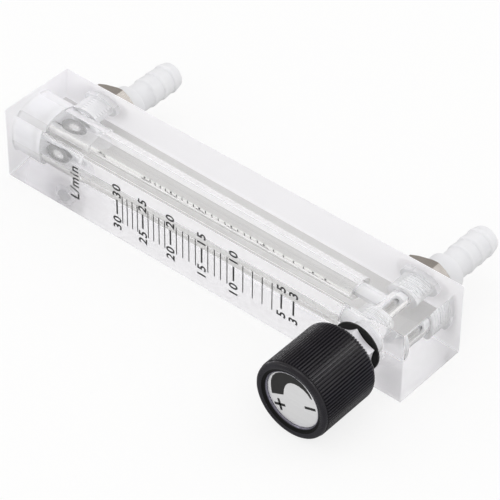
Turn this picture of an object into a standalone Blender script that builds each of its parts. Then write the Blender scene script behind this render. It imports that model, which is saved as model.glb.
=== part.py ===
# Block flowmeter with a control valve, lying on its long side as it is photographed.
# A clear acrylic block holds a tapered bore with a steel ball, two hose barbs leave
# the rear face, and a needle valve with a fluted knob stands on the front face.
#
# Frame: +X runs along the block to the valve end, -Y is the front face with the scale
# and the knob, +Z is up. The origin is the middle of the side face that it lies on.

import math

import bmesh
import bpy
from mathutils import Vector

MM = 0.001

# Clearances
SEAT_GAP = 0.25 * MM        # between pieces that touch or screw together
FLOAT_CLEARANCE = 0.15 * MM  # between the ball and the line of the bore that it rolls on
CUT_OVERRUN = 1.0 * MM      # how far a cutter runs past the face that it opens

# Acrylic block
BLOCK_LENGTH = 150.0 * MM
BLOCK_DEPTH = 27.0 * MM     # front face to rear face
BLOCK_WIDTH = 25.0 * MM     # the sheet's thickness, upright while the block lies down
BLOCK_EDGE = 0.35 * MM      # broken edge
PORT_INSET = 15.4 * MM      # each port's axis from its end of the block

# Float and its bore
BALL_RADIUS = 4.0 * MM
BORE_TOP_RADIUS = 4.95 * MM   # at the plug, where the ball floats highest
BORE_FOOT_RADIUS = 4.25 * MM  # at the lower end of the taper
BORE_FOOT_WALL = 10.6 * MM    # from the end of the taper to the inlet port's axis
PASSAGE_RADIUS = 2.5 * MM     # from the taper to the valve chamber
PASSAGE_PORT_RADIUS = 3.0 * MM  # from the outlet's tapped hole to the taper
STOP_LENGTH = 4.5 * MM
STOP_HOLE_RADIUS = 2.3 * MM
STOP_RIM = 0.6 * MM           # flat rim round the stop's cone
STOP_CONE_DEPTH = 1.2 * MM
STOP_SLOT_WIDTH = 1.4 * MM
STOP_SLOT_DEPTH = 2.0 * MM

# Top plug
PLUG_RADIUS = 6.0 * MM
PLUG_LENGTH = 10.4 * MM
PLUG_SET_IN = 0.4 * MM
PLUG_CHAMFER = 0.6 * MM
PLUG_SLOT_WIDTH = 1.6 * MM
PLUG_SLOT_DEPTH = 2.0 * MM
PLUG_RING_INSET = 2.2 * MM    # from its inner face, which stops the ball, to its seal ring
MOUTH_CHAMFER = 0.5 * MM      # at the mouth of the plug hole and of the tapped holes

# Hose barbs, their lock nuts and seal rings, measured outwards from the rear face
THREAD_RADIUS = 4.85 * MM
THREAD_DEPTH = 6.2 * MM
THREAD_LEAD = 0.7 * MM
TAP_DEPTH = 8.6 * MM
OUTLET_SET_DEEPER = 1.8 * MM  # the outlet barb is screwed in further than the inlet barb
BARB_BORE_RADIUS = 2.5 * MM
COLLAR_RADIUS = 6.0 * MM
COLLAR_START = 8.3 * MM
COLLAR_END = 13.4 * MM
COLLAR_CHAMFER = 0.5 * MM
NECK_RADIUS = 4.5 * MM
NECK_LENGTH = 5.6 * MM
RIDGE_COUNT = 3
RIDGE_PITCH = 4.6 * MM
RIDGE_RISE = 0.8 * MM         # length of the steep side that grips the hose
RIDGE_HEIGHT = 0.38 * MM
RIDGE_KNEE = (0.4, 0.6)       # shares of the rise and of the height at the knee between them
BARB_NOSE_LENGTH = 3.2 * MM   # from the last ridge to the end
BARB_NOSE_RADIUS = 4.3 * MM
BARB_NOSE_ROUND = 0.6 * MM
NUT_ACROSS_FLATS = 18.0 * MM
NUT_THICKNESS = 5.5 * MM
NUT_FACE_RADIUS = 9.3 * MM    # circle that the corners are turned down to
NUT_CHAMFER = 0.7 * MM
NUT_CORNER_ANGLE = math.radians(75)
FITTING_RING_CORD = 0.55 * MM  # radius of the ring's round section
SEAL_SEAT_ROOM = 0.6 * MM     # what the ring seat is deeper than the ring

# Needle valve, measured outwards from the front face
CHAMBER_TAP_RADIUS = 5.45 * MM
CHAMBER_TAP_DEPTH = 8.5 * MM
CHAMBER_RADIUS = 3.1 * MM
WASHER_RADIUS = 8.6 * MM
WASHER_THICKNESS = 1.0 * MM
WASHER_EDGE = 0.2 * MM
BONNET_ACROSS_FLATS = 13.0 * MM
BONNET_HEAD_HEIGHT = 4.6 * MM
BONNET_CHAMFER = 0.5 * MM
BONNET_CORNER_ANGLE = math.radians(86)
BONNET_BOSS_RADIUS = 4.2 * MM
BONNET_BOSS_HEIGHT = 0.9 * MM
BONNET_SHANK_DEPTH = 5.2 * MM
BONNET_PLAIN_BORE_DEPTH = 1.2 * MM  # where the wide bore steps down to the stem's thread
SEAT_HOLE_RADIUS = 1.7 * MM
SEAT_THICKNESS = 1.9 * MM
STEM_RADIUS = 2.0 * MM
STEM_LAND_RADIUS = 2.6 * MM    # wide part that carries the seal ring
STEM_LAND_START = 0.6 * MM
STEM_LAND_SET_IN = 0.8 * MM   # its outer end, below the bonnet's boss
STEM_BORE_GAP = 0.3 * MM
STEM_RING_CORD = 0.6 * MM
STOP_COLLAR_RADIUS = 2.7 * MM
STOP_COLLAR_LENGTH = 2.0 * MM
NEEDLE_TIP_RADIUS = 0.4 * MM
NEEDLE_TIP_REACH = 2.6 * MM    # how far the tip stands past the seat's near face
NEEDLE_SLOPE = 0.35            # radius gained for each unit of length
VALVE_OPENING = 1.5 * MM       # travel outwards from rest to fully open
VALVE_CLOSING = 1.0 * MM       # travel inwards from rest to closed
STEM_FLAT = 1.4 * MM           # the flat's distance from the axis

# Knob, measured outwards from the front face
KNOB_LENGTH = 21.65 * MM
KNOB_RADIUS = 12.35 * MM       # over the flutes' crests
FLUTE_COUNT = 80
FLUTE_DEPTH = 0.42 * MM
FLUTE_CREST = 0.4              # flat part of each flute's pitch
KNOB_RIM_RADIUS = 11.75 * MM   # smooth rim in front of the flutes
KNOB_RIM_LENGTH = 1.3 * MM
KNOB_RIM_ROUND = 0.9 * MM
KNOB_REAR_ROUND = 2.3 * MM
RECESS_WALL = 2.4 * MM
RECESS_DEPTH = 2.0 * MM
HUB_WALL = 1.85 * MM           # round the brass insert
HUB_SET_IN = 0.5 * MM
KNOB_WALL = 2.75 * MM          # from the crests to the hollow behind the knob
HOLLOW_DEPTH = 12.7 * MM
INSERT_RADIUS = 3.5 * MM
INSERT_LENGTH = 13.6 * MM
INSERT_GROOVE_DEPTH = 0.4 * MM
INSERT_GROOVE_WIDTH = 1.6 * MM
INSERT_LEDGE = 0.8 * MM        # wall that the screw's head clamps
SCREW_RADIUS = 1.05 * MM
SCREW_HOLE_RADIUS = 1.3 * MM
SCREW_LENGTH = 7.0 * MM
SCREW_HEAD_RADIUS = 2.6 * MM
SCREW_HEAD_HEIGHT = 1.7 * MM
SCREW_HEAD_CHAMFER = 0.55 * MM
SCREW_SLOT_WIDTH = 0.6 * MM
SCREW_SLOT_DEPTH = 0.8 * MM
POCKET_GAP = 0.6 * MM          # round the screw's head
DISC_THICKNESS = 0.75 * MM
DISC_BEVEL = 0.35 * MM

# Facets around each kind of turned piece
STEPS_BLOCK = 36
STEPS_KNOB = 64
STEPS_LARGE = 32
STEPS_SMALL = 24
RING_STEPS = 28
RING_SECTION_STEPS = 8
ARC_STEPS = 3

# Places worked out from the sizes above
MID_Z = BLOCK_WIDTH / 2
TOP_END = Vector((-BLOCK_LENGTH / 2, 0.0, MID_Z))
OUTLET_PLACE = Vector((-BLOCK_LENGTH / 2 + PORT_INSET, BLOCK_DEPTH / 2, MID_Z))
INLET_PLACE = Vector((BLOCK_LENGTH / 2 - PORT_INSET, BLOCK_DEPTH / 2, MID_Z))
VALVE_PLACE = Vector((BLOCK_LENGTH / 2 - PORT_INSET, -BLOCK_DEPTH / 2, MID_Z))

# Turns that bring a turned piece's own +Z axis to the direction that it points in
QUARTER = math.pi / 2
POINTING = {
    "+X": (0.0, QUARTER, 0.0),
    "-X": (0.0, -QUARTER, 0.0),
    "+Y": (-QUARTER, 0.0, 0.0),
    "-Y": (QUARTER, 0.0, 0.0),
}

# Finishes: colour, roughness, metallic and transmission
FINISHES = {
    "clear acrylic": ((0.96, 0.97, 0.98), 0.03, 0.0, 1.0),
    "white nylon": ((0.86, 0.86, 0.87), 0.42, 0.0, 0.0),
    "clear silicone": ((0.88, 0.88, 0.87), 0.35, 0.0, 0.3),
    "polished steel": ((0.62, 0.62, 0.63), 0.10, 1.0, 0.0),
    "nickel plate": ((0.66, 0.63, 0.59), 0.22, 1.0, 0.0),
    "black rubber": ((0.02, 0.02, 0.021), 0.55, 0.0, 0.0),
    "black plastic": ((0.025, 0.025, 0.028), 0.38, 0.0, 0.0),
    "brass": ((0.78, 0.57, 0.28), 0.30, 1.0, 0.0),
    "brushed aluminium": ((0.80, 0.80, 0.82), 0.32, 1.0, 0.0),
}


def clear_scene():
    for thing in list(bpy.data.objects):
        bpy.data.objects.remove(thing)


def new_collection(name):
    group = bpy.data.collections.new(name)
    bpy.context.scene.collection.children.link(group)
    return group


def finish(name, piece_name):
    """One Principled material for each piece, named for both."""
    colour, roughness, metallic, transmission = FINISHES[name]
    made = bpy.data.materials.new(piece_name + " " + name)
    made.use_nodes = True
    shader = made.node_tree.nodes["Principled BSDF"]
    shader.inputs["Base Color"].default_value = (*colour, 1.0)
    shader.inputs["Roughness"].default_value = roughness
    shader.inputs["Metallic"].default_value = metallic
    shader.inputs["Transmission Weight"].default_value = transmission
    made.diffuse_color = (*colour, 1.0)
    return made


def as_part(thing, material_name):
    """Put an object among the parts and give it its finish."""
    PARTS.objects.link(thing)
    thing.data.materials.append(finish(material_name, thing.name))
    return thing


def as_cutter(thing):
    CUTTERS.objects.link(thing)
    thing.hide_render = True
    thing.display_type = "WIRE"
    return thing


def turned(name, profile, pointing, place, steps):
    """A turned shape. The profile's points are (radius, height along the axis), and
    they run from the top end down the outer side. A profile that starts and ends off
    the axis is closed into a ring."""
    points = [Vector((radius, 0.0, height)) for radius, height in profile]
    edges = [(i, i + 1) for i in range(len(points) - 1)]
    if profile[0][0] > 0 and profile[-1][0] > 0:
        edges.append((len(points) - 1, 0))
    mesh = bpy.data.meshes.new(name)
    mesh.from_pydata(points, edges, [])
    thing = bpy.data.objects.new(name, mesh)
    thing.location = place
    thing.rotation_euler = POINTING[pointing]
    screw = thing.modifiers.new("turn", "SCREW")
    screw.angle = 2 * math.pi
    screw.steps = steps
    screw.render_steps = steps
    screw.axis = "Z"
    screw.use_merge_vertices = True
    screw.merge_threshold = 0.000001
    screw.use_smooth_shade = True
    return thing


def arc(centre, radius, start, stop, steps=ARC_STEPS):
    """Profile points on an arc, with its angles in degrees from the outward radius."""
    points = []
    for i in range(steps + 1):
        angle = math.radians(start + (stop - start) * i / steps)
        points.append((centre[0] + radius * math.cos(angle), centre[1] + radius * math.sin(angle)))
    return points


def seal_ring(name, ring_radius, cord_radius, pointing, place, height):
    """A round-section ring about the axis, its middle at the given height."""
    ring = arc((ring_radius, height), cord_radius, 90, -270, RING_SECTION_STEPS)[:-1]
    return turned(name, ring, pointing, place, RING_STEPS)


def box(name, size, centre):
    mesh = bpy.data.meshes.new(name)
    shape = bmesh.new()
    bmesh.ops.create_cube(shape, size=1.0)
    bmesh.ops.scale(shape, vec=size, verts=shape.verts)
    shape.to_mesh(mesh)
    shape.free()
    thing = bpy.data.objects.new(name, mesh)
    thing.location = centre
    return thing


def prism(name, outline, length, pointing, place, height):
    """An outline extruded along the axis, its middle at the given height."""
    curve = bpy.data.curves.new(name + " outline", "CURVE")
    curve.dimensions = "2D"
    curve.fill_mode = "BOTH"
    curve.extrude = length / 2
    spline = curve.splines.new("POLY")
    spline.points.add(len(outline) - 1)
    spline.use_cyclic_u = True
    for point, (x, y) in zip(spline.points, outline):
        point.co = (x, y, height, 1.0)
    drawn = bpy.data.objects.new(name + " outline", curve)
    bpy.context.scene.collection.objects.link(drawn)
    drawn.location = place
    drawn.rotation_euler = POINTING[pointing]
    bpy.context.view_layer.update()
    depsgraph = bpy.context.evaluated_depsgraph_get()
    mesh = bpy.data.meshes.new_from_object(drawn.evaluated_get(depsgraph))
    shape = bmesh.new()
    shape.from_mesh(mesh)
    bmesh.ops.remove_doubles(shape, verts=shape.verts, dist=0.000001)
    bmesh.ops.recalc_face_normals(shape, faces=shape.faces)
    shape.to_mesh(mesh)
    shape.free()
    thing = bpy.data.objects.new(name, mesh)
    thing.matrix_world = drawn.matrix_world.copy()
    bpy.data.objects.remove(drawn)
    return thing


def hexagon(across_flats, corner_angle):
    radius = across_flats / 2 / math.cos(math.pi / 6)
    angles = [corner_angle + i * math.pi / 3 for i in range(6)]
    return [(radius * math.cos(angle), radius * math.sin(angle)) for angle in angles]


def fluted_circle(crest_radius, depth, count):
    """Flat crests with sloping sides and narrow roots, three points to a flute."""
    half = FLUTE_CREST / 2
    root_radius = crest_radius - depth
    points = []
    for i in range(count):
        for share, radius in ((-half, crest_radius), (half, crest_radius), (0.5, root_radius)):
            angle = 2 * math.pi * (i + share) / count
            points.append((radius * math.cos(angle), radius * math.sin(angle)))
    return points


def combine(thing, tool, operation):
    step = thing.modifiers.new(operation.lower() + " " + tool.name, "BOOLEAN")
    step.operation = operation
    step.solver = "EXACT"
    step.object = tool
    return thing


def cut(thing, tool):
    return combine(thing, as_cutter(tool), "DIFFERENCE")


def keep_inside(thing, tool):
    return combine(thing, as_cutter(tool), "INTERSECT")


def plug_inner_end():
    return PLUG_SET_IN + PLUG_LENGTH


def bore_depth():
    return BLOCK_LENGTH - PORT_INSET - BORE_FOOT_WALL


def bore_radius(depth):
    """Radius of the tapered bore at a depth from the top end face."""
    share = (depth - plug_inner_end()) / (bore_depth() - plug_inner_end())
    return BORE_TOP_RADIUS + (BORE_FOOT_RADIUS - BORE_TOP_RADIUS) * share


def plug_hole_radius():
    return PLUG_RADIUS + SEAT_GAP


def tap_radius():
    """Tapped holes are plain here: the fine threads are left to the finish."""
    return THREAD_RADIUS + SEAT_GAP


def seal_seat_radius():
    """The ring seat's wall, from the ring that lies round the thread."""
    return tap_radius() + 2 * FITTING_RING_CORD + SEAT_GAP


def seal_seat_depth():
    return 2 * FITTING_RING_CORD + SEAL_SEAT_ROOM


def mouth(radius, depth):
    """The outer end of a hole's cutter, with a small countersink at the face."""
    return [
        (0.0, CUT_OVERRUN),
        (radius + MOUTH_CHAMFER + CUT_OVERRUN, CUT_OVERRUN),
        (radius, -MOUTH_CHAMFER),
        (radius, -depth),
    ]


def make_block():
    size = (BLOCK_LENGTH, BLOCK_DEPTH, BLOCK_WIDTH)
    block = as_part(box("body_block", size, (0, 0, MID_Z)), "clear acrylic")
    edge = block.modifiers.new("broken edges", "BEVEL")
    edge.width = BLOCK_EDGE
    edge.segments = 2
    plug_hole = plug_inner_end() + SEAT_GAP
    passage_end = BLOCK_LENGTH - PORT_INSET
    taper = mouth(plug_hole_radius(), plug_hole) + [
        (bore_radius(plug_hole), -plug_hole),
        (BORE_FOOT_RADIUS, -bore_depth()),
        (PASSAGE_RADIUS, -bore_depth()),
        (PASSAGE_RADIUS, -passage_end),
        (0.0, -passage_end),
    ]
    cut(block, turned("float bore cutter", taper, "-X", TOP_END, STEPS_BLOCK))
    ring_seat = [
        (0.0, CUT_OVERRUN),
        (seal_seat_radius(), CUT_OVERRUN),
        (seal_seat_radius(), -seal_seat_depth()),
        (tap_radius(), -seal_seat_depth()),
        (tap_radius(), -TAP_DEPTH),
    ]
    outlet = ring_seat + [
        (PASSAGE_PORT_RADIUS, -TAP_DEPTH),
        (PASSAGE_PORT_RADIUS, -BLOCK_DEPTH / 2),
        (0.0, -BLOCK_DEPTH / 2),
    ]
    cut(block, turned("outlet port cutter", outlet, "+Y", OUTLET_PLACE, STEPS_BLOCK))
    inlet = ring_seat + [(0.0, -TAP_DEPTH)]
    cut(block, turned("inlet port cutter", inlet, "+Y", INLET_PLACE, STEPS_BLOCK))
    chamber_end = BLOCK_DEPTH - TAP_DEPTH + CUT_OVERRUN
    chamber = mouth(CHAMBER_TAP_RADIUS, CHAMBER_TAP_DEPTH) + [
        (CHAMBER_RADIUS, -CHAMBER_TAP_DEPTH),
        (CHAMBER_RADIUS, -chamber_end),
        (0.0, -chamber_end),
    ]
    cut(block, turned("valve chamber cutter", chamber, "-Y", VALVE_PLACE, STEPS_BLOCK))


def make_top_plug():
    ring_radius = plug_hole_radius() - SEAT_GAP / 2 - FITTING_RING_CORD
    groove_radius = ring_radius - FITTING_RING_CORD - SEAT_GAP / 2
    groove_half = FITTING_RING_CORD + SEAT_GAP / 2
    inner_end = plug_inner_end()
    ring_depth = inner_end - PLUG_RING_INSET
    profile = [
        (0.0, -PLUG_SET_IN),
        (PLUG_RADIUS - PLUG_CHAMFER, -PLUG_SET_IN),
        (PLUG_RADIUS, -PLUG_SET_IN - PLUG_CHAMFER),
        (PLUG_RADIUS, -ring_depth + groove_half),
        (groove_radius, -ring_depth + groove_half),
        (groove_radius, -ring_depth - groove_half),
        (PLUG_RADIUS, -ring_depth - groove_half),
        (PLUG_RADIUS, PLUG_CHAMFER - inner_end),
        (PLUG_RADIUS - PLUG_CHAMFER, -inner_end),
        (0.0, -inner_end),
    ]
    plug = as_part(turned("top_plug", profile, "-X", TOP_END, STEPS_LARGE), "white nylon")
    slot_depth = PLUG_SET_IN + PLUG_SLOT_DEPTH
    slot_size = (slot_depth + CUT_OVERRUN, 2 * (PLUG_RADIUS + CUT_OVERRUN), PLUG_SLOT_WIDTH)
    slot_centre = TOP_END + Vector(((slot_depth - CUT_OVERRUN) / 2, 0, 0))
    cut(plug, box("plug slot cutter", slot_size, slot_centre))
    ring = seal_ring("top_plug_ring", ring_radius, FITTING_RING_CORD, "-X", TOP_END, -ring_depth)
    as_part(ring, "clear silicone")


def make_float():
    depth = plug_inner_end() + SEAT_GAP + BALL_RADIUS
    drop = bore_radius(depth) - BALL_RADIUS - FLOAT_CLEARANCE
    mesh = bpy.data.meshes.new("float_ball")
    shape = bmesh.new()
    bmesh.ops.create_uvsphere(shape, u_segments=24, v_segments=12, radius=BALL_RADIUS)
    shape.to_mesh(mesh)
    shape.free()
    mesh.shade_smooth()
    ball = bpy.data.objects.new("float_ball", mesh)
    ball.location = TOP_END + Vector((depth, 0, -drop))
    as_part(ball, "polished steel")


def make_float_stop():
    """Ring at the foot of the taper. A slot across it lets gas past a resting ball."""
    foot = bore_depth() - SEAT_GAP
    head = foot - STOP_LENGTH
    outer = BORE_FOOT_RADIUS - SEAT_GAP
    profile = [
        (outer - STOP_RIM, -head),
        (outer, -head),
        (outer, -foot),
        (STOP_HOLE_RADIUS, -foot),
        (STOP_HOLE_RADIUS, -head - STOP_CONE_DEPTH),
    ]
    stop = as_part(turned("float_stop", profile, "-X", TOP_END, STEPS_SMALL), "white nylon")
    slot_size = (STOP_SLOT_DEPTH + CUT_OVERRUN, 2 * (outer + CUT_OVERRUN), STOP_SLOT_WIDTH)
    slot_centre = TOP_END + Vector((head + (STOP_SLOT_DEPTH - CUT_OVERRUN) / 2, 0, 0))
    cut(stop, box("stop slot cutter", slot_size, slot_centre))


def barb_profile():
    """Outer side from the open end down to the thread's inner end, then the bore."""
    end = COLLAR_END + NECK_LENGTH + RIDGE_RISE + (RIDGE_COUNT - 1) * RIDGE_PITCH + BARB_NOSE_LENGTH
    nose_centre = (BARB_NOSE_RADIUS - BARB_NOSE_ROUND, end - BARB_NOSE_ROUND)
    profile = [(BARB_BORE_RADIUS, end)] + arc(nose_centre, BARB_NOSE_ROUND, 90, 0)
    for i in reversed(range(RIDGE_COUNT)):
        foot = COLLAR_END + NECK_LENGTH + i * RIDGE_PITCH
        knee_rise, knee_height = RIDGE_KNEE
        profile.append((NECK_RADIUS + RIDGE_HEIGHT, foot + RIDGE_RISE))
        profile.append((NECK_RADIUS + knee_height * RIDGE_HEIGHT, foot + knee_rise * RIDGE_RISE))
        profile.append((NECK_RADIUS, foot))
    profile += [
        (NECK_RADIUS, COLLAR_END + COLLAR_CHAMFER),
        (NECK_RADIUS + COLLAR_CHAMFER, COLLAR_END),
        (COLLAR_RADIUS - COLLAR_CHAMFER, COLLAR_END),
        (COLLAR_RADIUS, COLLAR_END - COLLAR_CHAMFER),
        (COLLAR_RADIUS, COLLAR_START),
        (THREAD_RADIUS, COLLAR_START),
        (THREAD_RADIUS, THREAD_LEAD - THREAD_DEPTH),
        (THREAD_RADIUS - THREAD_LEAD, -THREAD_DEPTH),
        (BARB_BORE_RADIUS, -THREAD_DEPTH),
    ]
    return profile


def make_fitting(name, place, set_deeper):
    """A nylon hose barb with its lock nut, and the seal ring in the block's ring seat."""
    barb_place = place - Vector((0, set_deeper, 0))
    as_part(turned(name + "_barb", barb_profile(), "+Y", barb_place, STEPS_LARGE), "white nylon")
    low = SEAT_GAP
    high = low + NUT_THICKNESS
    hole = THREAD_RADIUS + SEAT_GAP
    wide = NUT_FACE_RADIUS + 2 * NUT_CHAMFER
    profile = [
        (hole, high),
        (NUT_FACE_RADIUS, high),
        (wide, high - NUT_CHAMFER),
        (wide, low + NUT_CHAMFER),
        (NUT_FACE_RADIUS, low),
        (hole, low),
    ]
    nut = as_part(turned(name + "_nut", profile, "+Y", place, STEPS_LARGE), "nickel plate")
    outline = hexagon(NUT_ACROSS_FLATS, -NUT_CORNER_ANGLE)
    middle = (low + high) / 2
    length = NUT_THICKNESS + 2 * CUT_OVERRUN
    keep_inside(nut, prism(name + " nut flats", outline, length, "+Y", place, middle))
    ring_radius = tap_radius() + FITTING_RING_CORD
    ring_height = -seal_seat_depth() / 2
    ring = seal_ring(name + "_ring", ring_radius, FITTING_RING_CORD, "+Y", place, ring_height)
    as_part(ring, "clear silicone")


def washer_top():
    return SEAT_GAP + WASHER_THICKNESS


def head_foot():
    return washer_top() + SEAT_GAP


def shank_radius():
    return CHAMBER_TAP_RADIUS - SEAT_GAP


def bonnet_top():
    return head_foot() + BONNET_HEAD_HEIGHT + BONNET_BOSS_HEIGHT


def make_bonnet():
    inner = shank_radius() + SEAT_GAP
    washer = [
        (inner, washer_top()),
        (WASHER_RADIUS - WASHER_EDGE, washer_top()),
        (WASHER_RADIUS, washer_top() - WASHER_EDGE),
        (WASHER_RADIUS, SEAT_GAP),
        (inner, SEAT_GAP),
    ]
    as_part(turned("bonnet_washer", washer, "-Y", VALVE_PLACE, STEPS_LARGE), "black rubber")
    low = head_foot()
    high = low + BONNET_HEAD_HEIGHT
    face = BONNET_ACROSS_FLATS / 2
    wide = BONNET_ACROSS_FLATS / 2 / math.cos(math.pi / 6) + BONNET_CHAMFER
    seal_bore = STEM_LAND_RADIUS + STEM_BORE_GAP
    thread_bore = STEM_RADIUS + SEAT_GAP
    profile = [
        (seal_bore, bonnet_top()),
        (BONNET_BOSS_RADIUS, bonnet_top()),
        (BONNET_BOSS_RADIUS, high),
        (face, high),
        (wide, high - (wide - face) / 2),
        (wide, low),
        (shank_radius(), low),
        (shank_radius(), BONNET_CHAMFER - BONNET_SHANK_DEPTH),
        (shank_radius() - BONNET_CHAMFER, -BONNET_SHANK_DEPTH),
        (thread_bore, -BONNET_SHANK_DEPTH),
        (thread_bore, -BONNET_PLAIN_BORE_DEPTH),
        (seal_bore, -BONNET_PLAIN_BORE_DEPTH),
    ]
    bonnet = as_part(turned("valve_bonnet", profile, "-Y", VALVE_PLACE, STEPS_LARGE), "nickel plate")
    outline = hexagon(BONNET_ACROSS_FLATS, BONNET_CORNER_ANGLE)
    length = BONNET_SHANK_DEPTH + bonnet_top() + 2 * CUT_OVERRUN
    middle = (bonnet_top() - BONNET_SHANK_DEPTH) / 2
    keep_inside(bonnet, prism("bonnet flats", outline, length, "-Y", VALVE_PLACE, middle))


def seat_near_face():
    """The valve seat lies at the inner end of the chamber, before the inlet's tapped hole."""
    return -(BLOCK_DEPTH - TAP_DEPTH - SEAT_THICKNESS)


def make_seat():
    near = seat_near_face()
    far = near - SEAT_THICKNESS
    outer = CHAMBER_RADIUS - SEAT_GAP
    profile = [
        (SEAT_HOLE_RADIUS, near),
        (outer, near),
        (outer, far),
        (SEAT_HOLE_RADIUS, far),
    ]
    as_part(turned("valve_seat", profile, "-Y", VALVE_PLACE, STEPS_SMALL), "white nylon")


def stem_end():
    """The stem's outer end stops just under the ledge that the knob's screw clamps."""
    return insert_top() - INSERT_LEDGE - SEAT_GAP


def make_stem():
    groove_half = STEM_RING_CORD + SEAT_GAP / 2
    ring_radius = STEM_LAND_RADIUS + STEM_BORE_GAP - SEAT_GAP / 2 - STEM_RING_CORD
    groove_radius = ring_radius - STEM_RING_CORD - SEAT_GAP / 2
    land_end = bonnet_top() - STEM_LAND_SET_IN
    ring_height = (STEM_LAND_START + land_end) / 2
    collar_top = -BONNET_SHANK_DEPTH - VALVE_OPENING - SEAT_GAP
    collar_foot = collar_top - STOP_COLLAR_LENGTH
    tip = seat_near_face() - NEEDLE_TIP_REACH
    needle_top = tip + (STEM_RADIUS - NEEDLE_TIP_RADIUS) / NEEDLE_SLOPE
    screw_hole = stem_end() - SCREW_LENGTH
    screw_hole_radius = SCREW_RADIUS + SEAT_GAP
    profile = [
        (screw_hole_radius, stem_end()),
        (STEM_RADIUS, stem_end()),
        (STEM_RADIUS, land_end),
        (STEM_LAND_RADIUS, land_end),
        (STEM_LAND_RADIUS, ring_height + groove_half),
        (groove_radius, ring_height + groove_half),
        (groove_radius, ring_height - groove_half),
        (STEM_LAND_RADIUS, ring_height - groove_half),
        (STEM_LAND_RADIUS, STEM_LAND_START),
        (STEM_RADIUS, STEM_LAND_START),
        (STEM_RADIUS, collar_top),
        (STOP_COLLAR_RADIUS, collar_top),
        (STOP_COLLAR_RADIUS, collar_foot),
        (STEM_RADIUS, collar_foot),
        (STEM_RADIUS, needle_top),
        (NEEDLE_TIP_RADIUS, tip),
        (0.0, tip),
        (0.0, screw_hole),
        (screw_hole_radius, screw_hole),
    ]
    stem = turned("valve_stem", profile, "-Y", VALVE_PLACE, STEPS_SMALL)
    as_part(stem, "polished steel")
    flat_length = stem_end() - land_end - SEAT_GAP
    width = 2 * STEM_RADIUS + CUT_OVERRUN
    size = (width, flat_length + CUT_OVERRUN, STEM_RADIUS)
    flat_middle = stem_end() + (CUT_OVERRUN - flat_length) / 2
    centre = VALVE_PLACE + Vector((0, -flat_middle, STEM_FLAT + STEM_RADIUS / 2))
    cut(stem, box("stem flat cutter", size, centre))
    ring = seal_ring("stem_ring", ring_radius, STEM_RING_CORD, "-Y", VALVE_PLACE, ring_height)
    as_part(ring, "black rubber")


def hub_foot():
    """The hub clears the bonnet's boss by the valve's closing travel."""
    return bonnet_top() + VALVE_CLOSING + SEAT_GAP


def knob_rear():
    return hub_foot() - HUB_SET_IN


def knob_front():
    return knob_rear() + KNOB_LENGTH


def recess_radius():
    return KNOB_RIM_RADIUS - RECESS_WALL


def insert_top():
    return hub_foot() + SEAT_GAP + INSERT_LENGTH


def make_knob():
    """A moulded shell: fluted wall, hub for the brass insert, recess for the disc."""
    front = knob_front()
    rear = knob_rear()
    recess_floor = front - RECESS_DEPTH
    hollow_floor = rear + HOLLOW_DEPTH
    hollow = KNOB_RADIUS - KNOB_WALL
    hub = INSERT_RADIUS + SEAT_GAP + HUB_WALL
    pocket = SCREW_HEAD_RADIUS + POCKET_GAP
    wide = KNOB_RADIUS + FLUTE_DEPTH
    rim_centre = (KNOB_RIM_RADIUS - KNOB_RIM_ROUND, front - KNOB_RIM_ROUND)
    rear_centre = (wide - KNOB_REAR_ROUND, rear + KNOB_REAR_ROUND)
    insert_hole = INSERT_RADIUS + SEAT_GAP
    pocket_floor = insert_top() + SEAT_GAP
    profile = [(recess_radius(), front)]
    profile += arc(rim_centre, KNOB_RIM_ROUND, 90, 0)
    profile += [
        (KNOB_RIM_RADIUS, front - KNOB_RIM_LENGTH),
        (wide, front - KNOB_RIM_LENGTH - (wide - KNOB_RIM_RADIUS) / 2),
    ]
    profile += arc(rear_centre, KNOB_REAR_ROUND, 0, -90)
    profile += [
        (hollow, rear),
        (hollow, hollow_floor),
        (hub, hollow_floor),
        (hub, hub_foot()),
        (insert_hole, hub_foot()),
        (insert_hole, pocket_floor),
        (pocket, pocket_floor),
        (pocket, recess_floor),
        (recess_radius(), recess_floor),
    ]
    knob = as_part(turned("knob", profile, "-Y", VALVE_PLACE, STEPS_KNOB), "black plastic")
    outline = fluted_circle(KNOB_RADIUS, FLUTE_DEPTH, FLUTE_COUNT)
    middle = rear + KNOB_LENGTH / 2
    length = KNOB_LENGTH + 2 * CUT_OVERRUN
    keep_inside(knob, prism("knob flutes", outline, length, "-Y", VALVE_PLACE, middle))


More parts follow.
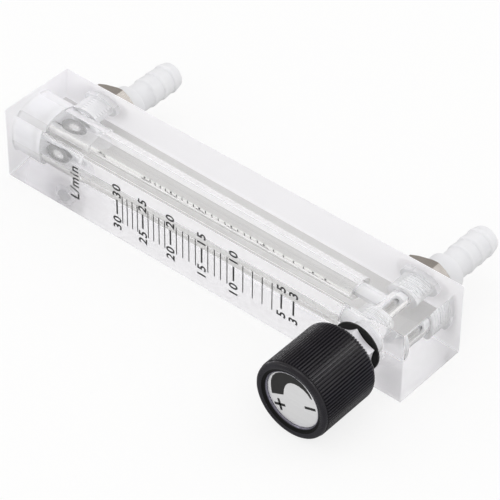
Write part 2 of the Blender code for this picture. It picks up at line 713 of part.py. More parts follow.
def make_knob_fixings():
    top = insert_top()
    foot = hub_foot() + SEAT_GAP
    middle = (top + foot) / 2
    waist = INSERT_RADIUS - INSERT_GROOVE_DEPTH
    insert = [
        (SCREW_HOLE_RADIUS, top),
        (INSERT_RADIUS, top),
        (INSERT_RADIUS, middle + INSERT_GROOVE_WIDTH / 2),
        (waist, middle + INSERT_GROOVE_WIDTH / 2),
        (waist, middle - INSERT_GROOVE_WIDTH / 2),
        (INSERT_RADIUS, middle - INSERT_GROOVE_WIDTH / 2),
        (INSERT_RADIUS, foot),
        (SCREW_HOLE_RADIUS, foot),
    ]
    bush = as_part(turned("knob_insert", insert, "-Y", VALVE_PLACE, STEPS_SMALL), "brass")
    shaft_hole_radius = STEM_RADIUS + SEAT_GAP
    shaft_hole_top = top - INSERT_LEDGE
    bore = [
        (0.0, shaft_hole_top),
        (shaft_hole_radius, shaft_hole_top),
        (shaft_hole_radius, foot - CUT_OVERRUN),
        (0.0, foot - CUT_OVERRUN),
    ]
    shaft_hole = turned("shaft hole cutter", bore, "-Y", VALVE_PLACE, STEPS_SMALL)
    flat = STEM_FLAT + SEAT_GAP
    size = (2 * INSERT_RADIUS, INSERT_LENGTH + 4 * CUT_OVERRUN, INSERT_RADIUS)
    flat_centre = VALVE_PLACE + Vector((0, -middle, flat + INSERT_RADIUS / 2))
    cut(shaft_hole, box("shaft hole flat", size, flat_centre))
    cut(bush, shaft_hole)

    seat = top + SEAT_GAP
    head = seat + SCREW_HEAD_HEIGHT
    shank_end = seat - INSERT_LEDGE - SCREW_LENGTH + 2 * SEAT_GAP
    screw_profile = [
        (0.0, head),
        (SCREW_HEAD_RADIUS - SCREW_HEAD_CHAMFER, head),
        (SCREW_HEAD_RADIUS, head - SCREW_HEAD_CHAMFER),
        (SCREW_HEAD_RADIUS, seat),
        (SCREW_RADIUS, seat),
        (SCREW_RADIUS, shank_end),
        (0.0, shank_end),
    ]
    screw = as_part(turned("knob_screw", screw_profile, "-Y", VALVE_PLACE, STEPS_SMALL), "nickel plate")
    slot_size = (2 * (SCREW_HEAD_RADIUS + CUT_OVERRUN), SCREW_SLOT_DEPTH + CUT_OVERRUN, SCREW_SLOT_WIDTH)
    slot_centre = VALVE_PLACE + Vector((0, -(head - SCREW_SLOT_DEPTH / 2 + CUT_OVERRUN / 2), 0))
    cut(screw, box("screw slot cutter", slot_size, slot_centre))

    disc_foot = knob_front() - RECESS_DEPTH + SEAT_GAP
    disc_top = disc_foot + DISC_THICKNESS
    disc_radius = recess_radius() - SEAT_GAP
    disc = [
        (0.0, disc_top),
        (disc_radius - 2 * DISC_BEVEL, disc_top),
        (disc_radius, disc_top - DISC_BEVEL),
        (disc_radius, disc_foot),
        (0.0, disc_foot),
    ]
    as_part(turned("knob_disc", disc, "-Y", VALVE_PLACE, STEPS_LARGE), "brushed aluminium")


clear_scene()
PARTS = new_collection("block flowmeter")
CUTTERS = new_collection("cutters")
make_block()
make_top_plug()
make_float()
make_float_stop()
make_fitting("outlet", OUTLET_PLACE, OUTLET_SET_DEEPER)
make_fitting("inlet", INLET_PLACE, 0.0)
make_bonnet()
make_seat()
make_stem()
make_knob()
make_knob_fixings()
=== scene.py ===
# %% [markdown]
# # A block flowmeter in clear acrylic
# The real thing is a polished block of clear acrylic that lies on its side. Gas comes in at
# the lower hose barb, passes the needle valve, lifts a steel ball in a tapered bore and
# leaves at the upper barb. Nearly everything that the eye sees is bent or mirrored by the
# acrylic, so this lesson spends most of its care on true holes, true threads and true glass.
#
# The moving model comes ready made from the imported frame. The frame stays fixed: each piece
# here is drawn in place, in metres, and rides on one of its bodies.

import math

import bmesh
import bpy
from mathutils import Euler, Matrix, Vector


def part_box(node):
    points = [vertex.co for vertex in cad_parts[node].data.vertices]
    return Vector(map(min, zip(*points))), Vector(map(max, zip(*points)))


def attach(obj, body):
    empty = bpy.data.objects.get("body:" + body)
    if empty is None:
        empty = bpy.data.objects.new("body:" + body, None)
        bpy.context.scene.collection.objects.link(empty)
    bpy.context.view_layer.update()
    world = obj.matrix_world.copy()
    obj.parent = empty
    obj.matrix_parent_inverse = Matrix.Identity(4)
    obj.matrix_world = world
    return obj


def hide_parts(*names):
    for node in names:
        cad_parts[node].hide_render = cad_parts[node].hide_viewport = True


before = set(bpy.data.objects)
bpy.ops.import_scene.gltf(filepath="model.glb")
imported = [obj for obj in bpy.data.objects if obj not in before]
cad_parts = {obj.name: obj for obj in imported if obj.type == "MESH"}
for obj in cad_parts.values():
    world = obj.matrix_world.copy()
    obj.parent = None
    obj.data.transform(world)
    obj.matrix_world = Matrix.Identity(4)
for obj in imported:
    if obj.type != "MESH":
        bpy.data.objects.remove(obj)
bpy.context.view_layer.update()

# %% [markdown]
# ## Where things are
# Sizes are written in millimetres. The block and the fittings are measured on the packed
# solids, so that a piece stays where its solid is. Only what a box can't tell, such as a
# bore's taper, is written down.

# %% Sizes and places
MM = 0.001
TINY = 0.001 * MM                      # less than any real size here


def middle_of(node):
    low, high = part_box(node)
    return (low + high) / 2


block_low, block_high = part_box("body_block")
block_size = block_high - block_low
mid_z = (block_low.z + block_high.z) / 2
top_end = Vector((block_low.x, 0, mid_z))
outlet_place = Vector((middle_of("outlet_barb").x, block_high.y, mid_z))
inlet_place = Vector((middle_of("inlet_barb").x, block_high.y, mid_z))
valve_place = Vector((inlet_place.x, block_low.y, mid_z))
port_inset = block_high.x - inlet_place.x
SEAT_GAP = 0.25 * MM
print("block, mm:", [round(v / MM, 2) for v in block_size], "port inset:", round(port_inset / MM, 2))

# %% [markdown]
# ## The camera
# The photograph was taken with a long lens from the front, to the right and above. The
# angles and the distance come from the block's own corners, because a box with square
# corners fixes the view. The camera leans by about half a degree.

# %% Camera
CAMERA_PLACE = Vector((375.035, -436.682, 512.219)) * MM
CAMERA_TURN = math.radians(39.957)     # round the object, from straight in front
CAMERA_RISE = math.radians(41.446)
CAMERA_LEAN = math.radians(0.6046)
FOCAL_SHARE = 2642 / 500               # focal length over the width of the picture
SENSOR = 36.0

backwards = Vector((
    math.sin(CAMERA_TURN) * math.cos(CAMERA_RISE),
    -math.cos(CAMERA_TURN) * math.cos(CAMERA_RISE),
    math.sin(CAMERA_RISE),
))
level = Vector((0, 0, 1)).cross(backwards).normalized()
upright = backwards.cross(level)
sideways = math.cos(CAMERA_LEAN) * level + math.sin(CAMERA_LEAN) * upright
upwards = math.cos(CAMERA_LEAN) * upright - math.sin(CAMERA_LEAN) * level

lens = bpy.data.cameras.new("photo camera")
lens.sensor_fit = "HORIZONTAL"
lens.sensor_width = SENSOR
lens.lens = FOCAL_SHARE * SENSOR
lens.clip_start = 0.02
aim = Matrix((sideways, upwards, backwards)).transposed().to_4x4()
camera = bpy.data.objects.new("photo camera", lens)
camera.matrix_world = Matrix.Translation(CAMERA_PLACE) @ aim
bpy.context.scene.collection.objects.link(camera)
bpy.context.scene.camera = camera
print("lens, mm:", round(lens.lens, 1))

# %% [markdown]
# ## Shader maths as plain Python
# A finish is a graph of nodes, and long graphs are hard to read as node calls. `Wire` wraps
# one socket and gives it arithmetic, so `1 - mask` adds its own Math node. `Finish` owns one
# material. Its `node` method makes every other node: settings first, then the sockets.

# %% Wire and Finish
class Wire:
    def __init__(self, finish, socket):
        self.finish = finish
        self.socket = socket

    def maths(self, operation, first, second):
        return self.finish.node("ShaderNodeMath", {"operation": operation}, {0: first, 1: second})

    def __add__(self, other):
        return self.maths("ADD", self, other)

    def __sub__(self, other):
        return self.maths("SUBTRACT", self, other)

    def __rsub__(self, other):
        return self.maths("SUBTRACT", other, self)

    def __mul__(self, other):
        return self.maths("MULTIPLY", self, other)

    __radd__ = __add__
    __rmul__ = __mul__


class Finish:
    def __init__(self, name, **fixed):
        self.material = bpy.data.materials.new(name)
        self.material.use_nodes = True
        self.tree = self.material.node_tree
        self.shader = self.tree.nodes["Principled BSDF"]
        self.set(**fixed)

    def join(self, value, socket):
        if isinstance(value, Wire):
            self.tree.links.new(value.socket, socket)
        else:
            socket.default_value = value

    def set(self, **sockets):
        """Sockets of the main shader, named with underscores for spaces."""
        for name, value in sockets.items():
            self.join(value, self.shader.inputs[name.replace("_", " ")])

    def node(self, kind, settings=None, sockets=None, out=0):
        made = self.tree.nodes.new(kind)
        for name, value in (settings or {}).items():
            if name == "stops":
                ramp = made.color_ramp.elements
                for i, (place, shade) in enumerate(value):
                    stop = ramp[i] if i < 2 else ramp.new(place)
                    stop.position = place
                    stop.color = (shade, shade, shade, 1)
            else:
                setattr(made, name, value)
        for name, value in (sockets or {}).items():
            self.join(value, made.inputs[name])
        return Wire(self, made.outputs[out])

    def place(self, stretch=(1, 1, 1)):
        """The point on the object in metres, stretched for grain that runs one way."""
        where = self.node("ShaderNodeTexCoord", out="Object")
        return self.node("ShaderNodeVectorMath", {"operation": "MULTIPLY"}, {0: where, 1: stretch})

    def noise(self, per_metre, detail=3.0, stretch=(1, 1, 1), rough=0.5):
        return self.node(
            "ShaderNodeTexNoise",
            sockets={"Vector": self.place(stretch), "Scale": per_metre, "Detail": detail, "Roughness": rough},
        )

    def ramp(self, value, *stops):
        return self.node("ShaderNodeValToRGB", {"stops": stops}, {"Fac": value})

    def mix(self, mask, colour, other):
        return self.node("ShaderNodeMix", {"data_type": "RGBA"}, {0: mask, 6: colour, 7: other}, out=2)

    def bump(self, height, strength, depth):
        return self.node(
            "ShaderNodeBump", sockets={"Height": height, "Strength": strength, "Distance": depth}
        )


def grey(value, alpha=1.0):
    return (value, value, value, alpha)


print("shader helpers ready")

# %% [markdown]
# ## Studio floor
# The photo shows a white sweep with hardly a shadow. A floor that is only lit comes out
# pale grey, and stronger lamps would bleach the object. So the floor is lit for itself, and
# then a Mix Shader puts plain white in place of most of it. Light Path tells which kind of
# ray is looking, so that the eye sees white paper, metal sees a greyer sweep, as it does
# where a studio falls off into shade, and what is left of the lit floor keeps the shadow.

# %% Floor
FLOOR_DROP = 0.12 * MM
FLOOR_HALF = 3.0
WHITE_TO_EYE = 0.80                    # how much of the floor glows, to the camera and in gloss
FLOOR_IN_GLOSS = 0.20                  # how bright that glow is in gloss, where 1 is white
WHITE_THROUGH_GLASS = 0.0              # none through the block, which shades its own floor

floor_finish = Finish("white paper sweep", Roughness=0.9)
paper_grain = floor_finish.noise(900, detail=2)
floor_finish.set(Base_Color=floor_finish.mix(paper_grain, (0.79, 0.785, 0.775, 1), (0.82, 0.815, 0.805, 1)))
floor_finish.shader.inputs["Specular IOR Level"].default_value = 0.1


def seen_white(finish, to_eye, through_glass):
    """The share of plain white for each kind of ray: none for the rays that only light."""
    eye = finish.node("ShaderNodeLightPath", out="Is Camera Ray")
    gloss = finish.node("ShaderNodeLightPath", out="Is Glossy Ray")
    glass = finish.node("ShaderNodeLightPath", out="Is Transmission Ray")
    mirrored = finish.node("ShaderNodeClamp", sockets={"Value": eye + gloss})
    return mirrored * (1 - glass) * to_eye + glass * through_glass


in_gloss = floor_finish.node("ShaderNodeLightPath", out="Is Glossy Ray")
white_or_grey = floor_finish.mix(in_gloss, grey(1.0), grey(FLOOR_IN_GLOSS))
white_light = floor_finish.node("ShaderNodeEmission", sockets={"Color": white_or_grey, "Strength": 1.0})
paper = floor_finish.node(
    "ShaderNodeMixShader",
    sockets={0: seen_white(floor_finish, WHITE_TO_EYE, WHITE_THROUGH_GLASS), 2: white_light},
)
floor_finish.tree.links.new(floor_finish.shader.outputs[0], paper.socket.node.inputs[1])
floor_finish.tree.links.new(paper.socket, floor_finish.tree.nodes["Material Output"].inputs["Surface"])

floor_mesh = bpy.data.meshes.new("floor")
floor_mesh.from_pydata(
    [(x * FLOOR_HALF, y * FLOOR_HALF, -FLOOR_DROP) for x, y in ((-1, -1), (1, -1), (1, 1), (-1, 1))],
    [], [(0, 1, 2, 3)],
)
floor = bpy.data.objects.new("floor", floor_mesh)
floor_mesh.materials.append(floor_finish.material)
bpy.context.scene.collection.objects.link(floor)
print("floor is", FLOOR_DROP / MM, "mm under the block")

# %% [markdown]
# ## Sky
# An even white world would light the meter softly from all sides, but plate and black
# plastic look flat when they have only white to mirror. So the world has two backgrounds:
# an even one that lights, and one for the eye, for gloss and for what is seen straight
# through the acrylic, which is white at the horizon and grey overhead.

# %% Sky
SKY_LIGHT = 0.95                       # even light on everything
SKY_OVERHEAD = (0.37, 0.35, 0.33, 1)   # what mirrors see of the room above the sweep
GREY_FROM = 0.10                       # height on the sky at which it is all grey
BRIGHTER_IN_GLASS = 0.4                # how much of that grey is lost through the acrylic

world = bpy.data.worlds.new("studio")
bpy.context.scene.world = world
world.use_nodes = True


class Sky(Finish):
    """The same helper on the world's own nodes."""

    def __init__(self, tree):
        self.tree = tree
        self.shader = tree.nodes["Background"]


sky = Sky(world.node_tree)
sky.shader.inputs["Color"].default_value = grey(1.0)
sky.shader.inputs["Strength"].default_value = SKY_LIGHT
direction = sky.node("ShaderNodeTexCoord", out="Generated")
height = sky.node("ShaderNodeSeparateXYZ", sockets={0: direction}, out="Z")
through_glass = sky.node("ShaderNodeLightPath", out="Is Transmission Ray")
overhead = sky.ramp(height, (0.0, 0.0), (GREY_FROM, 1.0)) * (1 - through_glass * BRIGHTER_IN_GLASS)
seen_sky = sky.node(
    "ShaderNodeBackground",
    sockets={"Color": sky.mix(overhead, grey(1.0), SKY_OVERHEAD), "Strength": 1.0},
)
scattered = sky.node("ShaderNodeLightPath", out="Diffuse Depth")
still_straight = sky.node("ShaderNodeMath", {"operation": "LESS_THAN"}, {0: scattered, 1: 0.5})
both = sky.node(
    "ShaderNodeMixShader", sockets={0: seen_white(sky, 1.0, still_straight), 2: seen_sky},
)
sky.tree.links.new(sky.shader.outputs[0], both.socket.node.inputs[1])
sky.tree.links.new(both.socket, sky.tree.nodes["World Output"].inputs["Surface"])
print("sky light", SKY_LIGHT)

# %% [markdown]
# ## Lamps
# Five weak softboxes stand round the meter and give its forms a bright and a quiet side.
# They are kept low, because white nylon clips soon. The front one isn't seen in gloss: its
# image would lie as a pale sheet on the knob. No lamp is seen through the acrylic, since
# the block's shadow rays already let its light in, and it would be counted twice.

# %% Lamps
def softbox(name, watts, size, place, target=Vector((0, 0, 0.01)), in_gloss=True):
    lamp = bpy.data.lights.new(name, "AREA")
    lamp.shape = "RECTANGLE"
    lamp.size, lamp.size_y = size
    lamp.energy = watts
    thing = bpy.data.objects.new(name, lamp)
    thing.location = place
    thing.rotation_euler = (target - Vector(place)).to_track_quat("-Z", "Y").to_euler()
    thing.visible_camera = False
    thing.visible_glossy = in_gloss
    thing.visible_transmission = False     # shadow rays already let its light through the block
    bpy.context.scene.collection.objects.link(thing)
    return thing


softbox("overhead softbox", 0.7, (0.6, 0.4), (-0.15, 0.25, 0.9))
softbox("rear softbox", 0.6, (0.7, 0.6), (0.75, 0.75, 0.55))
softbox("front softbox", 1.2, (0.9, 0.6), (0.10, -0.75, 0.45), in_gloss=False)
softbox("strip softbox", 0.7, (0.45, 0.16), (0.38, 0.60, 0.72))
softbox("left softbox", 0.6, (0.4, 0.5), (-0.7, -0.45, 0.55))

# %% [markdown]
# ## View and bounces
# The Standard view shows a colour as it is written. A ray that looks through the block
# passes its skin, the bore, the bore's far wall and the skin again, and may be mirrored at
# each, so glass gets many bounces before it is given up as black.

# %% View and bounces
bpy.context.scene.view_settings.view_transform = "Standard"
bounces = bpy.context.scene.cycles
bounces.max_bounces = 24
bounces.diffuse_bounces = 10
bounces.transmission_bounces = 20
bounces.glossy_bounces = 14
bounces.transparent_max_bounces = 24
print("bounces:", bounces.max_bounces)

# %% [markdown]
# ## Turning
# Most pieces here were turned on a lathe, so one helper spins a profile about an axis. A
# Screw modifier could do that, but it can't cut a thread that starts and runs out. The
# helper writes the rings of points itself, and a row that carries a thread depth is pulled
# in and out as the angle goes round, which gives a true helix.

# %% Spin a profile
TOWARDS = {
    "+X": Euler((0, math.pi / 2, 0)),
    "-X": Euler((0, -math.pi / 2, 0)),
    "+Y": Euler((-math.pi / 2, 0, 0)),
    "-Y": Euler((math.pi / 2, 0, 0)),
}
SHARP_ANGLE = math.radians(32)
SMOOTH_STEPS = 96


def groove(turns):
    """A thread's section: 0 on the crest, 1 in the root."""
    across = abs(2 * (turns % 1.0) - 1)
    return across * across * (3 - 2 * across)


def threaded(radius, start, stop, depth, pitch, rows_per_turn=10):
    """Profile rows of a thread from one height to another, with a run-out at both ends."""
    count = max(4, round(abs(stop - start) / pitch * rows_per_turn))
    rows = []
    for i in range(count + 1):
        share = i / count
        fade = min(1.0, 6 * share, 6 * (1 - share))
        rows.append((radius, start + (stop - start) * share, depth * fade, pitch))
    return rows


def arc(centre, radius, start, stop, steps=8):
    """Profile points on an arc, with its angles in degrees from the outward radius."""
    points = []
    for i in range(steps + 1):
        angle = math.radians(start + (stop - start) * i / steps)
        points.append((centre[0] + radius * math.cos(angle), centre[1] + radius * math.sin(angle)))
    return points


def tidy_mesh(mesh, shape):
    bmesh.ops.recalc_face_normals(shape, faces=shape.faces)
    shape.to_mesh(mesh)
    shape.free()
    mesh.shade_smooth()
    mesh.set_sharp_from_angle(angle=SHARP_ANGLE)


def turn(name, profile, place, towards, finish, steps=SMOOTH_STEPS, outline=None):
    """Rows of (radius, height), the outer end first. Rows off the axis at both ends close
    into a ring. An outline gives each row its own radius round the turn."""
    basis = TOWARDS[towards].to_matrix()
    shape = bmesh.new()
    rings = []
    for row in profile:
        radius, along = row[:2]
        if radius == 0:
            rings.append([shape.verts.new(place + basis @ Vector((0, 0, along)))])
            continue
        ring = []
        for i in range(steps):
            angle = 2 * math.pi * i / steps
            here = radius
            if len(row) == 4:
                here -= row[2] * groove(along / row[3] - i / steps)
            if outline:
                here = outline(here, along, i / steps)
            spot = Vector((here * math.cos(angle), here * math.sin(angle), along))
            ring.append(shape.verts.new(place + basis @ spot))
        rings.append(ring)
    if profile[0][0] > 0 and profile[-1][0] > 0:
        rings.append(rings[0])
    for one, two in zip(rings, rings[1:]):
        for i in range(steps):
            j = (i + 1) % steps
            if len(one) == 1:
                shape.faces.new((one[0], two[i], two[j]))
            elif len(two) == 1:
                shape.faces.new((one[i], two[0], one[j]))
            else:
                shape.faces.new((one[i], two[i], two[j], one[j]))
    mesh = bpy.data.meshes.new(name)
    tidy_mesh(mesh, shape)
    thing = bpy.data.objects.new(name, mesh)
    mesh.materials.append(finish.material)
    bpy.context.scene.collection.objects.link(thing)
    return thing


def settle(piece, body, slot, *nodes):
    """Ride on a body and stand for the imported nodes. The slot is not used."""
    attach(piece, body)
    if nodes:
        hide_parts(*nodes)
    print(piece.name, "rides on", body, "with", len(piece.data.polygons), "faces")
    return piece


print("lathe ready")

# %% [markdown]
# ## Cutting
# Holes, hexagons and slots are Booleans, as on the real machine: turn first, then cut. A
# wall takes over the finish of the tool that cut it, so a reamed bore and a tapped one look
# as different as they do in acrylic. The result is kept as a plain mesh, and the tools are
# thrown away.

# %% Cut with a tool
def carve(thing, tools, operation="DIFFERENCE"):
    for tool in tools:
        step = thing.modifiers.new(tool.name, "BOOLEAN")
        step.operation = operation
        step.solver = "EXACT"
        step.material_mode = "TRANSFER"
        step.object = tool
    bpy.context.view_layer.update()
    drawn = thing.evaluated_get(bpy.context.evaluated_depsgraph_get())
    mesh = bpy.data.meshes.new_from_object(drawn)
    mesh.name = thing.name
    thing.modifiers.clear()
    thing.data = mesh
    for tool in tools:
        bpy.data.objects.remove(tool)
    mesh.shade_smooth()
    mesh.set_sharp_from_angle(angle=SHARP_ANGLE)
    return thing


def block_of(name, low, high, finish):
    """A box between two corners."""
    shape = bmesh.new()
    bmesh.ops.create_cube(shape, size=1.0)
    size = high - low
    for vert in shape.verts:
        vert.co = Vector(low + Vector((vert.co[i] + 0.5) * size[i] for i in range(3)))
    mesh = bpy.data.meshes.new(name)
    tidy_mesh(mesh, shape)
    mesh.materials.append(finish.material)
    thing = bpy.data.objects.new(name, mesh)
    bpy.context.scene.collection.objects.link(thing)
    return thing


def hexagon_bar(name, across_flats, corner, low, high, place, towards, finish, hollow=0.0):
    """A hexagonal bar about the axis, from one height to another. Its flats may be hollow."""
    radius = across_flats / math.sqrt(3)

    def sides(here, along, share):
        angle = 2 * math.pi * (share - (math.floor(share * 6) + 0.5) / 6)
        bow = 1 - (math.tan(angle) / math.tan(math.pi / 6)) ** 2
        return (across_flats / 2 - hollow * bow) / math.cos(angle)

    bar = turn(
        name, [(0, high), (radius, high), (radius, low), (0, low)], place, towards, finish,
        steps=6 * (8 if hollow else 1), outline=sides,
    )
    axis = TOWARDS[towards].to_matrix() @ Vector((0, 0, 1))
    spin = Matrix.Translation(place) @ Matrix.Rotation(corner, 4, axis)
    bar.data.transform(spin @ Matrix.Translation(-place))
    return bar


print("cutter ready")

# %% [markdown]
# ## Clear acrylic
# The block is cast sheet, sawn, diamond-turned on its faces and flame-bright at its edges.
# Principled with full transmission bends light as acrylic does. One helper makes every
# clear finish, and a little haze in patches keeps it from looking like ice. Two more
# helpers stack shaders: `mixed_in` lays one over what a finish shows so far, and `milky` is
# a skin so rough that it scatters light both ways.

# %% Acrylic helpers
ACRYLIC_IOR = 1.49
LAVENDER_WHITE = (0.985, 0.975, 1.0)   # light that has come a long way through the acrylic
MILK = (0.985, 0.98, 1.0, 1)


def clear_plastic(name, clearness, roughness, rub, tint):
    finish = Finish(name, IOR=ACRYLIC_IOR)
    finish.shader.inputs["Transmission Weight"].default_value = clearness
    haze = finish.ramp(finish.noise(60, detail=4), (0.45, 0.0), (0.8, 1.0))
    finish.set(
        Roughness=roughness + haze * rub,
        Base_Color=finish.mix(haze, (*tint, 1), (tint[0] - 0.01, tint[1] - 0.01, tint[2] - 0.01, 1)),
    )
    return finish


def mixed_in(finish, share, other):
    """Show another shader in place of a share of what the finish shows so far."""
    surface = finish.tree.nodes["Material Output"].inputs["Surface"]
    so_far = surface.links[0].from_socket
    mixed = finish.node("ShaderNodeMixShader", sockets={0: share, 2: other})
    finish.tree.links.new(so_far, mixed.socket.node.inputs[1])
    finish.tree.links.new(mixed.socket, surface)


def milky(finish, onward):
    """Light scattered by a rough skin: most of it back, a share of it onward."""
    scattered_back = finish.node("ShaderNodeBsdfDiffuse", sockets={"Color": MILK})
    scattered_on = finish.node("ShaderNodeBsdfTranslucent", sockets={"Color": MILK})
    return finish.node("ShaderNodeMixShader", sockets={0: onward, 1: scattered_back, 2: scattered_on})


print("acrylic helpers ready")

# %% [markdown]
# ## From polished to drilled
# A diamond tool and a reamer leave a wall that you can look through. A tap and a drill tear
# it a little, so it turns milky. Less transmission and more roughness give that, in four
# steps. A drilled wall also gets a faint painted glow, which stands in for the light that
# wanders about behind it.
# A ray towards a lamp can't bend on its way, which would leave the block in dark shade, so
# for shadow rays alone a Transparent shader takes each finish's place.

# %% Clear finishes
DRILLED_PAINTED_GLOW = 0.04
polished_acrylic = clear_plastic("polished clear acrylic", 1.0, 0.0, 0.004, (1.0, 1.0, 1.0))
reamed_acrylic = clear_plastic("reamed clear acrylic", 0.80, 0.004, 0.012, (0.985, 0.985, 1.0))
tapped_acrylic = clear_plastic("tapped clear acrylic", 0.35, 0.45, 0.05, (0.985, 0.985, 1.0))
drilled_acrylic = clear_plastic("drilled clear acrylic", 0.30, 0.55, 0.05, (0.985, 0.985, 1.0))
# painted glow on drilled walls, for light that wanders in the acrylic
drilled_acrylic.set(Emission_Color=(*LAVENDER_WHITE, 1), Emission_Strength=DRILLED_PAINTED_GLOW)
for clear in (polished_acrylic, reamed_acrylic, tapped_acrylic, drilled_acrylic):
    lamp_ray = clear.node("ShaderNodeLightPath", out="Is Shadow Ray")
    mixed_in(clear, lamp_ray, clear.node("ShaderNodeBsdfTransparent", sockets={"Color": grey(1.0)}))
print("clear finishes ready")

# %% [markdown]
# ## Satin faces
# The rear face and the top end face are milled and left satin. Seen through the acrylic
# they are the brightest part of the block, because acrylic pipes light along itself and
# lets go of it where its skin is rough. To find that light, rays would need far more
# bounces than there is time for. So the skin is milky, and it gets a painted glow that
# stands in for that light, seen only from inside, which Geometry's Backfacing tells. The
# painted glow is weaker near the top end, as in the photo.

# %% Satin finish
PAINTED_GLOW_STRENGTH = 1.5
PAINTED_GLOW_AT_END = (0.44, 0.435, 0.45)
PAINTED_GLOW_FULL_FROM = 20 * MM               # from the top end
MILKY_SHARE, ONWARD_SHARE = 0.85, 0.30
satin_acrylic = clear_plastic("satin milled acrylic", 0.2, 0.90, 0.05, LAVENDER_WHITE)
along_block = satin_acrylic.node("ShaderNodeSeparateXYZ", sockets={0: satin_acrylic.place()}, out="X")
from_end = satin_acrylic.node("ShaderNodeMapRange", sockets={
    "Value": along_block, "From Min": block_low.x, "From Max": block_low.x + PAINTED_GLOW_FULL_FROM,
    "To Min": 0.0, "To Max": 1.0,
})
seen_inside = satin_acrylic.node("ShaderNodeNewGeometry", out="Backfacing")
painted_glow = satin_acrylic.mix(from_end, (*PAINTED_GLOW_AT_END, 1), (*LAVENDER_WHITE, 1))
# painted glow: a lavender-white emission seen only from inside, weaker towards the top end
satin_acrylic.set(
    Emission_Color=satin_acrylic.mix(seen_inside, grey(0.0), painted_glow),
    Emission_Strength=PAINTED_GLOW_STRENGTH,
)
mixed_in(satin_acrylic, MILKY_SHARE, milky(satin_acrylic, ONWARD_SHARE))
print("satin finish ready")

# %% [markdown]
# ## The block and its holes
# The block is sawn from sheet, and its edges are broken by a Bevel. The float's bore is a
# long taper from the top end. Where the ball rests, above the scale, the bore is a little
# wider, with a step that the photo shows. The ports are tapped, with a counterbore for the
# seal ring, and the valve chamber runs in from the front. Sizes first, then the tools.

# %% Sizes of the block's holes
BLOCK_EDGE = 0.35 * MM
OVERRUN = 1.0 * MM                     # how far a tool runs past the face that it opens
MOUTH_CHAMFER = 0.5 * MM
BORE_TOP_RADIUS, BORE_FOOT_RADIUS = 4.95 * MM, 4.25 * MM
BORE_FOOT_WALL = 10.6 * MM
PASSAGE_RADIUS, PASSAGE_PORT_RADIUS = 2.5 * MM, 3.0 * MM
PLUG_RADIUS, PLUG_SET_IN = 6.0 * MM, 0.4 * MM
THREAD_RADIUS, THREAD_PITCH, THREAD_DEEP = 4.85 * MM, 1.0 * MM, 0.42 * MM
TAP_DEPTH = 8.6 * MM
CHAMBER_TAP_RADIUS, CHAMBER_TAP_DEPTH = 5.45 * MM, 8.5 * MM
CHAMBER_RADIUS = 3.1 * MM
TAPER_STARTS = 26.8 * MM               # above it the bore is a little wider, so the ball rests clear
CLEAR_OF_TAPER = 0.35 * MM
PORT_RUN_IN, PORT_RUN_OUT = 0.2 * MM, 0.5 * MM      # plain stretches at a port thread's ends
CHAMBER_RUN_IN, CHAMBER_RUN_OUT = 1.0 * MM, 0.6 * MM
WORN_DOWN_TO = 0.2                     # share of the thread that is left in the outlet

ring_low, ring_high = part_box("inlet_ring")
ring_seat_radius = (ring_high.x - ring_low.x) / 2 + SEAT_GAP
ring_seat_depth = 2 * (block_high.y - (ring_low.y + ring_high.y) / 2)
tap_radius = THREAD_RADIUS + SEAT_GAP
plug_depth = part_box("top_plug")[1].x - block_low.x
bore_depth = block_size.x - port_inset - BORE_FOOT_WALL


def bore_radius(depth):
    share = (depth - plug_depth) / (bore_depth - plug_depth)
    return BORE_TOP_RADIUS + (BORE_FOOT_RADIUS - BORE_TOP_RADIUS) * share


def mouth(radius):
    return [(0, OVERRUN), (radius + MOUTH_CHAMFER + OVERRUN, OVERRUN), (radius, -MOUTH_CHAMFER)]


print("bore depth, mm:", round(bore_depth / MM, 2), "plug depth, mm:", round(plug_depth / MM, 2))

# %% Blank and the tools along it
acrylic_block = block_of("acrylic_block", block_low, block_high, polished_acrylic)
edge = acrylic_block.modifiers.new("broken edges", "BEVEL")
edge.width = BLOCK_EDGE
edge.segments = 3

plug_hole_depth = plug_depth + SEAT_GAP
plug_hole = turn(
    "plug hole", mouth(PLUG_RADIUS + SEAT_GAP) + [
        (PLUG_RADIUS + SEAT_GAP, -plug_hole_depth), (0, -plug_hole_depth),
    ], top_end, "-X", drilled_acrylic,
)
rest_radius = bore_radius(plug_hole_depth) + CLEAR_OF_TAPER
ball_rest = turn(
    "ball rest", [
        (0, OVERRUN - plug_hole_depth), (rest_radius, OVERRUN - plug_hole_depth),
        (rest_radius, -TAPER_STARTS), (bore_radius(TAPER_STARTS), -TAPER_STARTS - CLEAR_OF_TAPER),
        (0, -TAPER_STARTS - CLEAR_OF_TAPER),
    ], top_end, "-X", reamed_acrylic,
)
float_bore = turn(
    "float bore", [
        (0, -TAPER_STARTS), (bore_radius(TAPER_STARTS), -TAPER_STARTS),
        (BORE_FOOT_RADIUS, -bore_depth), (0, -bore_depth),
    ], top_end, "-X", polished_acrylic, steps=2 * SMOOTH_STEPS,
)
passage = turn(
    "passage", [
        (0, OVERRUN - bore_depth), (PASSAGE_RADIUS, OVERRUN - bore_depth),
        (PASSAGE_RADIUS, port_inset - block_size.x), (0, port_inset - block_size.x),
    ], top_end, "-X", drilled_acrylic,
)
print("ball rest radius, mm:", round(rest_radius / MM, 2))

# %% [markdown]
# ### Ports and valve chamber
# Each hole is one turned tool with its thread on it, so the tap's true helix is cut into
# the acrylic and shows as arcs from above. The outlet's thread is nearly worn away in the
# photo, so its tool has only a share of the depth.

